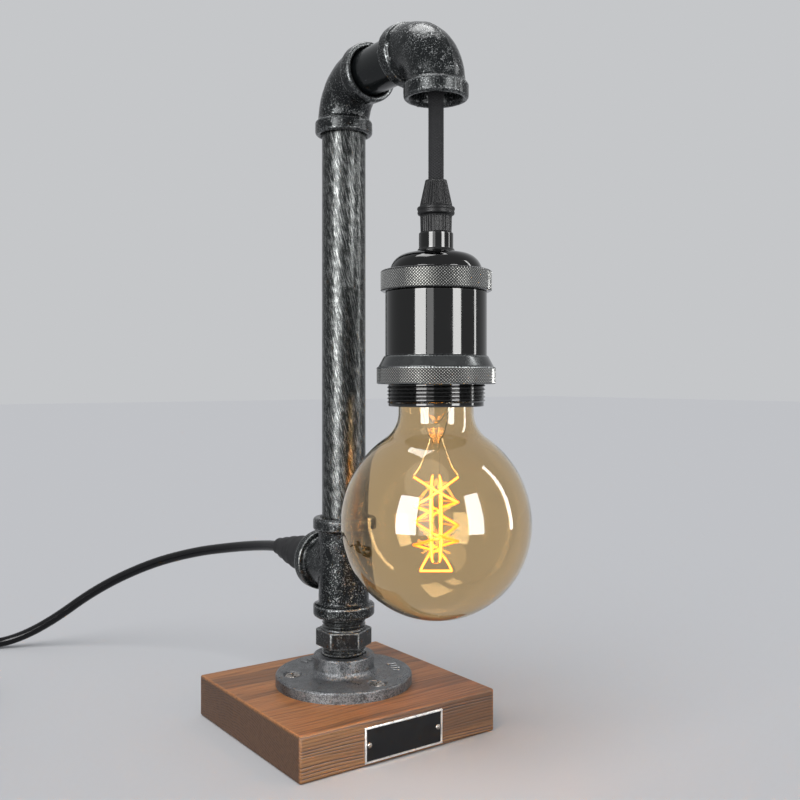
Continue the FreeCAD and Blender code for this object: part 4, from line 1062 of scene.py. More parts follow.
    def knurl(self, faces: Faces, low: float, high: float, columns: int, depth: float) -> None:
        """Press crossed grooves into a ring's band, leaving small pyramids.

        Args:
            faces: The ring's faces, with evenly spaced rows in the band.
            low: Where the band starts.
            high: Where it ends.
            columns: How many columns of corners the ring has.
            depth: How deep the grooves are.
        """
        radius = max(vert.co.xy.length for face in faces for vert in face.verts)

        def outermost(face: bmesh.types.BMFace) -> bool:
            """Return whether a face lies in the band."""
            level = all(low - 1e-3 < vert.co.z < high + 1e-3 for vert in face.verts)
            return level and all(vert.co.xy.length > radius - 1e-3 for vert in face.verts)

        band = [face for face in faces if outermost(face)]
        rows = sorted({round(vert.co.z, 3) for face in band for vert in face.verts})
        for vert in {vert for face in band for vert in face.verts}:
            column = round(math.atan2(vert.co.y, vert.co.x) / math.tau * columns)
            if (column + rows.index(round(vert.co.z, 3))) % 2 == 0:
                vert.co.x *= 1 - depth / radius
                vert.co.y *= 1 - depth / radius
        for face in self.mesh.faces:
            face.material_index = 1
        split = bmesh.ops.triangulate(self.mesh, faces=band, quad_method="SHORT_EDGE")
        for face in split["faces"]:
            face.material_index = 0

    def sweep_bend(self, radius: float, bend: float) -> Faces:
        """Sweep a disc round a quarter bend, from pointing down to pointing to the front.

        Args:
            radius: The disc's radius.
            bend: The radius of the bend's middle line.

        Returns:
            The new faces.
        """
        known = set(self.mesh.faces)
        low = Matrix.Translation((0, 0, -bend))
        circle = {"cap_ends": True, "radius": radius, "segments": 72, "matrix": low}
        disc = bmesh.ops.create_circle(self.mesh, **circle)["verts"][0].link_faces[0]
        self.spin([disc], math.radians(90), 24, cent=(0, -bend, -bend), axis=(1, 0, 0))
        return self.settle(known, Matrix.Identity(4))

    def carrier(self) -> bpy.types.Object:
        """Return the mesh so far as an object that a modifier can work on."""
        data = bpy.data.meshes.new(self.name + "_rough")
        self.mesh.to_mesh(data)
        for finish in self.finishes:
            data.materials.append(finish.material())
        return put_in_scene(data.name, data)

    def take_back(self, worked: bpy.types.Object, *spent: bpy.types.Object) -> None:
        """Take over what a carrier's modifier made, and clear the carriers away.

        Args:
            worked: The carrier with the modifier.
            *spent: The carriers that it was worked with.
        """
        evaluated = worked.evaluated_get(bpy.context.evaluated_depsgraph_get())
        result = bpy.data.meshes.new_from_object(evaluated)
        self.mesh.clear()
        self.mesh.from_mesh(result)
        bpy.data.meshes.remove(result)
        for item in (worked, *spent):
            data = item.data
            bpy.data.objects.remove(item)
            bpy.data.meshes.remove(data)

    def carve(self, tool: "Workpiece") -> None:
        """Cut another piece's solid out of this one, and use it up.

        Args:
            tool: The piece to cut with.
        """
        block, cutter = self.carrier(), tool.carrier()
        cut = block.modifiers.new("cut", "BOOLEAN")
        cut.operation, cut.solver, cut.object = "DIFFERENCE", "EXACT", cutter
        cut.use_self = True
        self.take_back(block, cutter)
        tool.mesh.free()

    def cast(self, grain: float, relax: int, swell: float, seed: float) -> None:
        """Fuse the piece's overlapping solids into one skin with the mould's parting line.

        Args:
            grain: The size of the skin's facets, in millimetres.
            relax: How often the skin is smoothed.
            swell: How far the skin wanders in and out, in millimetres.
            seed: Where the wandering is read.
        """
        bmesh.ops.scale(self.mesh, vec=(MM, MM, MM), verts=self.mesh.verts)
        rough = self.carrier()
        fuse = rough.modifiers.new("fuse", "REMESH")
        fuse.mode, fuse.voxel_size, fuse.adaptivity = "VOXEL", grain * MM, 0.0
        self.take_back(rough)
        every_axis = {"use_axis_" + axis: True for axis in "xyz"}
        for _ in range(relax):
            bmesh.ops.smooth_vert(self.mesh, verts=self.mesh.verts, factor=0.5, **every_axis)
        self.mesh.normal_update()
        coarse, fine, seam_height, seam_width = 420.0, 1100.0, 0.26, 0.80
        for vert in self.mesh.verts:
            wander = noise.noise(vert.co * coarse + Vector((seed, 0, 0)))
            wander += 0.5 * noise.noise(vert.co * fine)
            seam = seam_height * max(0.0, 1.0 - abs(vert.co.x) / (seam_width * MM))
            vert.co += vert.normal * ((wander * swell + seam) * MM)

    def mark_wear(self, least: float = 0.04, full: float = 0.26) -> None:
        """Note how sharply each corner of the mesh stands out, for the finishes to rub bright.

        Args:
            least: The mean fold about a corner, in radians, below which nothing is rubbed.
            full: How much more makes it a full edge.
        """
        layer = self.mesh.verts.layers.float.new("wear")
        for vert in self.mesh.verts:
            solid = [edge for edge in vert.link_edges if edge.is_manifold]
            folds = [edge.calc_face_angle_signed(0.0) for edge in solid]
            mean = sum(folds) / max(1, len(folds))
            vert[layer] = min(1.0, max(0.0, mean - least) / full)

    def frame_broad_faces(self, broad: float = 1.4, margin: float = 0.4) -> None:
        """Set a narrow margin inside each broad face, so that wear stays at its edges.

        Args:
            broad: The least side of a face that counts as broad.
            margin: How wide the margin is.
        """
        sides = {face: min(edge.calc_length() for edge in face.edges) for face in self.mesh.faces}
        faces = [face for face, side in sides.items() if side > broad]
        how = {"thickness": margin, "depth": 0.0, "use_even_offset": True}
        bmesh.ops.inset_individual(self.mesh, faces=faces, **how)

    def hand_over(
        self,
        body: str,
        slot: str,
        replaces: Sequence[str] = (),
        crease: float = 34.0,
        metres: bool = False,
        flat: int = -1,
    ) -> bpy.types.Object:
        """Turn the worked mesh into a piece of the lamp.

        Args:
            body: The moving body that the piece rides on.
            slot: The record's material slot that it takes its finish from.
            replaces: The plain solids that it stands for.
            crease: The fold, in degrees, above which an edge stays sharp.
            metres: Whether the mesh is in metres already.
            flat: The finish whose faces are shaded flat, if any.

        Returns:
            The piece's object.
        """
        if not metres:
            self.frame_broad_faces()
            bmesh.ops.scale(self.mesh, vec=(MM, MM, MM), verts=self.mesh.verts)
        self.mark_wear()
        limit = math.radians(crease)
        for face in self.mesh.faces:
            face.smooth = face.material_index != flat
        for edge in self.mesh.edges:
            edge.smooth = not (edge.is_manifold and edge.calc_face_angle(0.0) > limit)
        data = bpy.data.meshes.new(self.name)
        self.mesh.to_mesh(data)
        self.mesh.free()
        for finish in self.finishes:
            data.materials.append(finish.material())
        return declare(put_in_scene(self.name, data), body, slot, replaces)


def declare(
    item: bpy.types.Object, body: str, slot: str, replaces: Sequence[str] = ()
) -> bpy.types.Object:
    """Tell the frame what a piece rides on, is finished as and stands for.

    Args:
        item: The piece.
        body: The moving body that it rides on.
        slot: The record's material slot that it takes its finish from.
        replaces: The plain solids that it stands for.

    Returns:
        The piece.
    """
    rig.ride(item, body)
    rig.slot(item, slot)
    if replaces:
        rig.replaces(item, *replaces)
    LOG.info("piece %s rides on %s", item.name, body)
    return item


def dress_nodes(finish: Finish, *names: str) -> None:
    """Give plain solids that stay visible a finish.

    Args:
        finish: The finish.
        *names: The solids' names.
    """
    for name in names:
        mesh = frame["nodes"][name].data
        mesh.materials.clear()
        mesh.materials.append(finish.material())


def lay_wire(
    name: str, routes: Sequence[Sequence[Point]], radius: float, finish: Finish
) -> bpy.types.Object:
    """Lay round wires or cords along smooth routes.

    Args:
        name: The piece's name.
        routes: The control points of each route, in metres.
        radius: The radius, in metres.
        finish: What it is covered in.

    Returns:
        The piece's object, one open spline to a route.
    """
    data = bpy.data.curves.new(name, "CURVE")
    data.dimensions = "3D"
    data.bevel_depth = radius
    data.bevel_resolution = 5
    data.resolution_u = 10
    data.use_fill_caps = True
    for route in routes:
        spline = data.splines.new("NURBS")
        spline.points.add(len(route) - 1)
        for item, place in zip(spline.points, route):
            item.co = (*place, 1.0)
        spline.order_u = 3
        spline.use_endpoint_u = True
    data.materials.append(finish.material())
    return put_in_scene(name, data)


def arc(
    centre: tuple[float, float], radius: float, first: float, last: float, count: int = 12
) -> list[tuple[float, float]]:
    """Return outline corners along an arc.

    Args:
        centre: The arc's middle.
        radius: Its radius.
        first: Where it starts, in degrees from the outward direction.
        last: Where it ends.
        count: How many steps it takes.
    """
    turns = [math.radians(first + (last - first) * index / count) for index in range(count + 1)]
    across, up = centre
    return [(across + radius * math.cos(turn), up + radius * math.sin(turn)) for turn in turns]


# Base and nameplate


@dataclass
class Base:
    """The wooden base, its nameplate and the flange that is screwed to it, in millimetres."""

    front: float = -50.5
    half_width: float = 53.0
    thickness: float = 20.0
    edge: float = 0.9
    plate_width: float = 42.5
    plate_low: float = 1.3
    plate_high: float = 17.1
    plate_thickness: float = 0.9
    border: float = 0.95
    field_bevel: float = 0.12
    field_depth: float = 0.28
    pin_reach: float = 18.7
    flange_top: float = 25.2
    screw_circle: float = 25.0
    screw_sink: float = 1.3
    screw_angles: tuple[float, ...] = (37.0, 157.0, 277.0)
    mark_angles: tuple[float, ...] = (-21.0, 97.0)
    mark_pitch: float = 7.6

    PIN = ((0, -4), (0.7, -4), (0.7, 0), (1.25, 0), (1.2, 0.3), (0.85, 0.68), (0, 0.8))
    SCREW_SHANK = ((0, -8), (2.0, -8), (2.0, -1.2))
    SCREW_HEAD = ((4.15, -0.1), (4.15, 0.25), (3.5, 0.95), (2.2, 1.32), (0, 1.4))

    def build(self) -> None:
        """Dress the base and make everything that is fixed to it."""
        block = Workpiece("oiled_wooden_block", WOOD)
        high = (self.half_width, -self.front, self.thickness)
        block.block((-self.half_width, self.front, 0), high, self.edge)
        block.hand_over("stand", "base_wood", ["wooden_base"])
        dress_nodes(FLANGE, "floor_flange")
        self.nameplate()
        self.pins()
        self.cast_marks()
        self.screws()

    def nameplate(self) -> None:
        """Make the bare nameplate: a bright raised border about a black field."""
        plate = Workpiece("engraved_nameplate", BORDER, FIELD)
        half, face = self.plate_width / 2, self.front - self.plate_thickness
        plate.block((-half, face, self.plate_low), (half, self.front, self.plate_high), 0.22)
        field = [f for f in plate.mesh.faces if f.normal.y < -0.99 and f.calc_area() > 100]
        for width, depth in ((self.border, 0.0), (self.field_bevel, -self.field_depth)):
            bmesh.ops.inset_region(plate.mesh, faces=field, thickness=width, depth=depth)
        for part in field:
            part.material_index = 1
        plate.hand_over("stand", "plate_black", ["nameplate"])

    def pins(self) -> None:
        """Make the two round-headed pins."""
        pins = Workpiece("nameplate_drive_pins", OILED_AND_SHADED_SCREW)
        face = self.front - self.plate_thickness + 0.3
        height = (self.plate_low + self.plate_high) / 2
        for side in (-1, 1):
            pins.lathe(self.PIN, Seat.FRONT.at(side * self.pin_reach, face, height), 32, 0.08)
        pins.hand_over("stand", "bright_steel", ["nameplate_pins"])

    def on_flange(self, angle: float, out: float, height: float) -> Matrix:
        """Return a placement on the flange, turned to face out from its middle."""
        return spin_about_z(angle) @ Matrix.Translation((out, 0, height))

    def cast_marks(self) -> None:
        """Make the foundry's plain raised bars on the flange, long and short by turns."""
        marks = Workpiece("flange_cast_bars", FLANGE)
        for angle in self.mark_angles:
            for index in range(4):
                turn = angle + self.mark_pitch * (index - 1.5)
                seat = self.on_flange(turn, self.screw_circle + 0.6, self.flange_top)
                reach = 2.4 if index % 2 else 1.7
                marks.block((-reach, -0.55, -0.2), (reach, 0.55, 0.55), 0.3, seat)
        marks.hand_over("stand", "fitting_iron")

    def screws(self) -> None:
        """Make the three round-headed cross-slot screws."""
        # Their darker finish is partly painted shade.
        screws = Workpiece("cross_slot_screws", OILED_AND_SHADED_SCREW)
        slots = Workpiece("slots", OILED_AND_SHADED_SCREW)
        for angle in self.screw_angles:
            seat = self.on_flange(angle, self.screw_circle, self.flange_top - self.screw_sink)
            screws.lathe([*self.SCREW_SHANK, *self.SCREW_HEAD], seat, 48, 0.12)
            for turn in (20.0, 110.0):
                turned = seat @ spin_about_z(turn + angle)
                slots.block((-2.3, -0.42, 0.35), (2.3, 0.42, 2.0), 0.0, turned)
        screws.carve(slots)
        screws.hand_over("stand", "bright_steel", ["flange_screws"])


# Pipework


@dataclass
class Pipework:
    """The nipples, tee, column and elbows, in millimetres."""

    pipe: float = 10.65
    bore: float = 9.2
    pipe_sides: int = 128
    engagement: float = 6.0
    hex_low: float = 38.4
    hex_high: float = 46.6
    hex_flats: float = 23.8
    hex_edge: float = 0.55
    hub_top: float = 34.2
    tee_centre: float = 76.8
    tee_reach: float = 24.1
    tee_band: float = 15.0
    tee_band_width: float = 5.9
    tee_body: float = 12.35
    arm_height: float = 312.1
    arm_length: float = 74.0
    elbow_reach: float = 25.2
    elbow_band: float = 13.95
    elbow_band_width: float = 6.6
    elbow_body: float = 12.5
    mouth_depth: float = 9.0
    mouth_edge: float = 0.35
    thread_root: float = 10.05
    thread_depth: float = 0.62
    thread_pitch: float = 1.81
    skin: float = 0.42
    cast_crease: float = 70.0

    @property
    def facet(self) -> float:
        """Return the size of a casting's facets."""
        return 1.0 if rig.quick() else self.skin

    def build(self) -> None:
        """Make every pipe and fitting."""
        self.nipple()
        self.tee()
        foot, head = self.tee_centre + self.tee_reach, self.arm_height - self.elbow_reach
        self.tube("column_tube", COLUMN, Seat.UP.value, (foot, head), "stand", "column_pipe")
        corner = Matrix.Translation((0, 0, self.arm_height))
        self.elbow("column_elbow_casting", "column_elbow", corner, 3.0)
        turned = Matrix.Translation((0, -self.arm_length, self.arm_height)) @ spin_about_z(180)
        self.elbow("drop_elbow_casting", "drop_elbow", turned, 8.0)
        ends = (self.elbow_reach, self.arm_length - self.elbow_reach)
        self.tube("arm_tube", ARM, Seat.FRONT.at(z=self.arm_height), ends, "arm", "arm_nipple")
        dress_nodes(RUBBER, "cord_retainer")
        dress_nodes(BRAID, "arm_cable", "cord_flex_point")

    def tube(
        self,
        name: str,
        finish: Finish,
        seat: Matrix,
        ends: tuple[float, float],
        body: str,
        node: str,
    ) -> None:
        """Make a length of pipe that runs into the fittings at both ends.

        Args:
            name: The piece's name.
            finish: What it is finished in.
            seat: Where it goes.
            ends: Where the fittings' mouths are along it.
            body: The moving body that it rides on.
            node: The plain solid that it stands for.
        """
        piece = Workpiece(name, finish)
        low, high = ends[0] - self.engagement, ends[1] + self.engagement
        outline = [(0, low), (self.pipe, low), (self.pipe, high), (0, high)]
        piece.lathe(outline, seat, self.pipe_sides)
        piece.hand_over(body, "pipe_steel", [node])

    def nipple(self) -> None:
        """Make the hexagon nipple with its thread showing above and below."""
        piece = Workpiece("hexagon_nipple", HEXAGON, THREAD)
        corner = self.hex_flats / math.sqrt(3)
        turns = [math.tau * side / 6 for side in range(6)]
        plan = [(corner * math.sin(turn), corner * math.cos(turn)) for turn in turns]
        piece.round_edges(piece.prism(plan, self.hex_low, self.hex_high), self.hex_edge)
        piece.finish = 1
        root, low = self.thread_root, self.hub_top - 3.0
        high = self.tee_centre - self.tee_reach + 3.0
        piece.lathe([(0, low), (root, low), (root, high), (0, high)], sides=72)
        for foot, tip in ((low, self.hex_low + 0.2), (self.hex_high - 0.2, high)):
            seat = Seat.UP.at(z=foot)
            piece.ridge(root, self.thread_depth, self.thread_pitch, tip - foot, seat)
        piece.finish = 0
        for foot, tip in ((self.hex_low, -0.9), (self.hex_high, 0.9)):
            outline = [(0, foot), (11.0, foot), (10.6, foot + tip), (0, foot + tip)]
            piece.lathe(outline, sides=72, soften=0.25)
        piece.hand_over("stand", "fitting_iron", ["hex_nipple"])

    def socket(
        self, reach: float, band: float, width: float, body: float, inward: float
    ) -> list[tuple[float, float]]:
        """Return the outline of one mouth of a fitting, from its inside to the body.

        Args:
            reach: How far the mouth is from the fitting's middle.
            band: The rim's radius.
            width: The rim's width.
            body: The body's radius.
            inward: Where the outline ends, towards the middle.
        """
        return [
            (0.0, reach - self.mouth_depth),
            (self.bore, reach - self.mouth_depth),
            (self.pipe + 0.15, reach - 1.6),
            (self.pipe + 1.3, reach - 0.1),
            (band - 1.0, reach),
            (band, reach - 1.0),
            (band, reach - width + 0.2),
            (body + 0.5, reach - width - 0.4),
            (body, reach - width - 1.2),
            (body, inward),
            (0.0, inward),
        ]

    def tee(self) -> None:
        """Make the cast tee."""
        piece = Workpiece("cast_tee", FITTING)
        mouth = self.socket(self.tee_reach, self.tee_band, self.tee_band_width, self.tee_body, -1.0)
        for seat in (Seat.UP, Seat.DOWN, Seat.BACK):
            piece.lathe(mouth, seat.at(z=self.tee_centre), 72, self.mouth_edge)
        piece.cast(self.facet, 3, 0.075, 0.0)
        piece.hand_over("stand", "fitting_iron", ["pipe_tee"], self.cast_crease, metres=True)

    def elbow(self, name: str, node: str, seat: Matrix, seed: float) -> None:
        """Make one cast elbow, its legs down and to the front before it is seated.

        Args:
            name: The piece's name.
            node: The plain solid that it stands for.
            seat: Where its legs meet.
            seed: What makes its cast skin its own.
        """
        piece = Workpiece(name, FITTING)
        reach, band, width = self.elbow_reach, self.elbow_band, self.elbow_band_width
        bend = reach - width
        mouth = self.socket(reach, band, width, self.elbow_body, bend - 2.5)
        for leg in (Seat.DOWN, Seat.FRONT):
            piece.lathe(mouth, leg.value, 72, self.mouth_edge)
        piece.sweep_bend(self.elbow_body, bend)
        bmesh.ops.transform(piece.mesh, matrix=seat, verts=piece.mesh.verts)
        piece.cast(self.facet, 3, 0.07, seed)
        piece.hand_over("arm", "fitting_iron", [node], self.cast_crease, metres=True)


# Socket


@dataclass
class Pendant:
    """The braided cord, its grip and the lampholder's metalwork, in millimetres."""

    reach: float = -74.0
    cord: float = 3.35
    pivot: float = 289.9
    yarns: int = 12
    braid_lead: float = 14.0
    braid_depth: float = 0.11
    grip_top: float = 252.7
    ribs: int = 32
    rib_depth: float = 0.26
    collar_top: float = 230.3
    cap_top: float = 223.1
    ring_top: float = 214.2
    shell_top: float = 205.2
    shell_foot: float = 178.0
    sleeve_foot: float = 156.7
    sleeve_radius: float = 20.3
    sleeve_pitch: float = 1.55
    sleeve_thread: float = 0.68
    ring_radius: float = 23.7
    shell_radius: float = 21.6
    shade_radius: float = 25.4
    shade_foot: float = 166.0
    knurl_pitch: float = 1.3
    knurl_depth: float = 0.40

    def build(self) -> None:
        """Make the pendant from the cord down."""
        self.braided_cord()
        self.grip()
        self.collar()
        self.dome()
        self.cap_ring()
        self.shell()
        self.sleeve()
        self.shade_ring()
        dress_nodes(CERAMIC, "ceramic_insert")
        dress_nodes(BRASS, "screw_shell", "centre_contact", "terminal_screws")
        dress_nodes(INSULATION, "core_wires")

    def at(self, height: float = 0.0) -> Matrix:
        """Return the placement of a turned piece on the pendant's axis."""
        return Seat.UP.at(y=self.reach, z=height)

    def braid(self, radius: float, turn: float, height: float) -> float:
        """Return what is left of the cord's radius, where yarns cross over and under.

        Args:
            radius: A corner's distance from the axis.
            turn: Its angle about the axis, in radians.
            height: Its height.
        """
        if radius <= self.cord - 0.01:
            return 1.0
        round_it, climb = turn / math.tau * self.yarns, height / self.braid_lead * self.yarns
        left, right = round_it + climb, round_it - climb
        over = (math.floor(left) + math.floor(right)) % 2 == 0
        across, along = (left, right) if over else (right, left)
        crown = 0.55 + 0.45 * math.sin(math.pi * (along % 1.0))
        ridge = math.sin(math.pi * (across % 1.0)) ** 0.7 * crown
        return 1 - self.braid_depth * (1 - ridge)

    def braided_cord(self) -> None:
        """Make the cord with its diamond braid of crossed yarns."""
        low, high = self.collar_top, self.pivot
        rows = 90 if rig.quick() else 300
        side = [(self.cord, low + (high - low) * row / rows) for row in range(rows + 1)]
        piece = Workpiece("braided_drop_cord", BRAID)
        piece.lathe([(0, low), *side, (self.cord * 0.8, high + 1.2), (0, high + 1.6)], sides=120)
        piece.draw_in(self.braid)
        piece.shift(self.reach)
        cord = piece.hand_over("pendant", "braid", ["drop_cord"], crease=80.0)
        route = [(0.0, self.reach * MM, height * MM) for height in (high, 270.0, 250.0, low)]
        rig.cord(
            cord,
            exit=route[0],
            length=(self.pivot - self.collar_top) * MM,
            diameter=2 * self.cord * MM,
            far_end="object",
            stiffness="medium",
            lay="taut",
            path=route,
        )

    def grip_ribs(self, radius: float, turn: float, height: float) -> float:
        """Return what is left of the grip's radius, where its ribs run down cone and body.

        Args:
            radius: A corner's distance from the axis.
            turn: Its angle about the axis, in radians.
            height: Its height.
        """
        drop = self.grip_top - height
        ribbed = (0.7 < drop < 10.7 and radius > 4.4) or (drop > 15.6 and radius > 5.5)
        return 1 - self.rib_depth * max(0.0, math.cos(turn * self.ribs)) / radius if ribbed else 1.0

    def grip(self) -> None:
        """Make the ribbed plastic grip with its rounded lip."""
        piece = Workpiece("ribbed_cord_grip", PLASTIC)
        foot = self.grip_top - self.collar_top
        cone = ((3.1, 1.2), (3.4, 0.0), (4.6, 0.0), (4.75, 0.8), (6.9, 10.6), (6.95, 11.2))
        lip = ((7.95, 11.6), (8.1, 12.4), (7.75, 13.1), (7.95, 13.8), (7.8, 14.6), (6.9, 15.1))
        drops = (*cone, *lip, (6.75, 15.8), (6.6, foot), (3.1, foot))
        outline = [(radius, self.grip_top - drop) for radius, drop in drops]
        piece.lathe(outline, sides=192, soften=0.22, segments=2, closed=True)
        piece.draw_in(self.grip_ribs)
        piece.shift(self.reach)
        piece.hand_over("pendant", "black_plastic", ["cord_grip"], crease=50.0)

    def collar(self) -> None:
        """Make the bright collar under the grip."""
        piece = Workpiece("turned_collar", NICKEL)
        top, foot = self.collar_top, self.cap_top
        outline = [(3.2, top), (7.1, top), (7.35, top - 0.35), (7.35, foot + 0.35), (6.9, foot)]
        outline += [(6.9, foot - 2), (3.2, foot - 2)]
        piece.lathe(outline, self.at(), 96, 0.12, closed=True)
        piece.hand_over("pendant", "black_nickel", ["grip_collar"])

    def dome(self) -> None:
        """Make the spun dome that flows down from the collar."""
        piece = Workpiece("spun_dome", NICKEL)
        top, foot = self.cap_top, self.ring_top
        outline = [(7.0, top + 0.45), (7.75, top + 0.40), (8.15, top - 0.55), (9.1, top - 1.35)]
        outline += [(10.8, top - 1.6), *arc((11.2, foot - 1.2), 8.6, 76.0, 0.0, 12)]
        outline += [(19.8, foot - 8.6), (18.6, foot - 8.6), (18.6, foot - 1.2)]
        outline += [(11.0, foot + 6.2), (7.0, top - 1.0)]
        piece.lathe(outline, self.at(), 128, 0.25, closed=True)
        piece.hand_over("pendant", "black_nickel", ["socket_cap"], crease=50.0)

    def shell(self) -> None:
        """Make the polished shell."""
        piece = Workpiece("polished_shell", NICKEL)
        top, foot, radius = self.shell_top, self.shell_foot, self.shell_radius
        outline = [(radius - 1, foot), (radius, foot), (radius, top), (radius - 1, top)]
        piece.lathe(outline, self.at(), 192, 0.25, closed=True)
        piece.hand_over("pendant", "black_nickel", ["socket_shell"])

    def sleeve(self) -> None:
        """Make the sleeve with the shade ring's thread."""
        piece = Workpiece("threaded_shade_sleeve", NICKEL)
        top, foot, radius = self.shell_foot, self.sleeve_foot, self.sleeve_radius
        outline = [(18.0, foot), (radius - 0.2, foot), (radius, foot + 0.3), (radius, top)]
        piece.lathe([*outline, (18.0, top)], self.at(), 128, closed=True)
        climb = top - foot - 1.4
        seat = self.at(foot + 0.35)
        piece.ridge(radius, self.sleeve_thread, self.sleeve_pitch, climb, seat, 96, 0.92)
        piece.hand_over("pendant", "black_nickel", ["threaded_sleeve"])

    def knurled_ring(
        self, name: str, outline: Outline, low: float, high: float, radius: float, plain: Finish
    ) -> Workpiece:
        """Turn a ring and knurl its band.

        Args:
            name: The ring's name.
            outline: The whole outline except the band, from above the band round to below it.
            low: Where the band starts.
            high: Where it ends.
            radius: The band's radius.
            plain: What the rest of it is finished in.

        Returns:
            The ring, not yet handed over.
        """
        piece = Workpiece(name, KNURLED, plain)
        columns = 2 * round(math.tau * radius / self.knurl_pitch)
        rows = 2 * round((high - low) / self.knurl_pitch)
        band = [(radius, low + (high - low) * row / rows) for row in range(rows + 1)]
        faces = piece.lathe([*band, *outline], sides=columns, closed=True)
        piece.knurl(faces, low, high, columns, self.knurl_depth)
        piece.shift(self.reach)
        return piece

    def cap_ring(self) -> None:
        """Make the knurled ring that joins dome and shell."""
        top, foot, radius = self.ring_top, self.shell_top, self.ring_radius
        outline = [(radius - 0.35, top - 0.35), (radius - 0.9, top), (19.8, top), (19.8, foot)]
        outline += [(radius - 0.9, foot), (radius - 0.3, foot + 0.3)]
        low, high = foot + 0.7, top - 0.8
        ring = self.knurled_ring("knurled_cap_ring", outline, low, high, radius, NICKEL)
        ring.hand_over("pendant", "black_nickel", ["cap_ring"], flat=0)

    def shade_ring(self) -> None:
        """Make the ring that clamps a shade: a satin shoulder above a knurled band."""
        top, foot, radius = self.shell_foot, self.shade_foot, self.shade_radius
        band = top - 4.9
        outline = [(radius - 0.3, band), (radius - 0.9, band + 0.35), (22.3, top - 0.35)]
        outline += [(21.9, top), (21.3, top), (21.3, foot)]
        outline += [(radius - 0.9, foot), (radius - 0.3, foot + 0.3)]
        low, high = foot + 0.6, band - 0.4
        ring = self.knurled_ring("knurled_shade_ring", outline, low, high, radius, SATIN)
        ring.hand_over("shade_ring", "black_nickel", ["shade_ring"], flat=0)


# Bulb


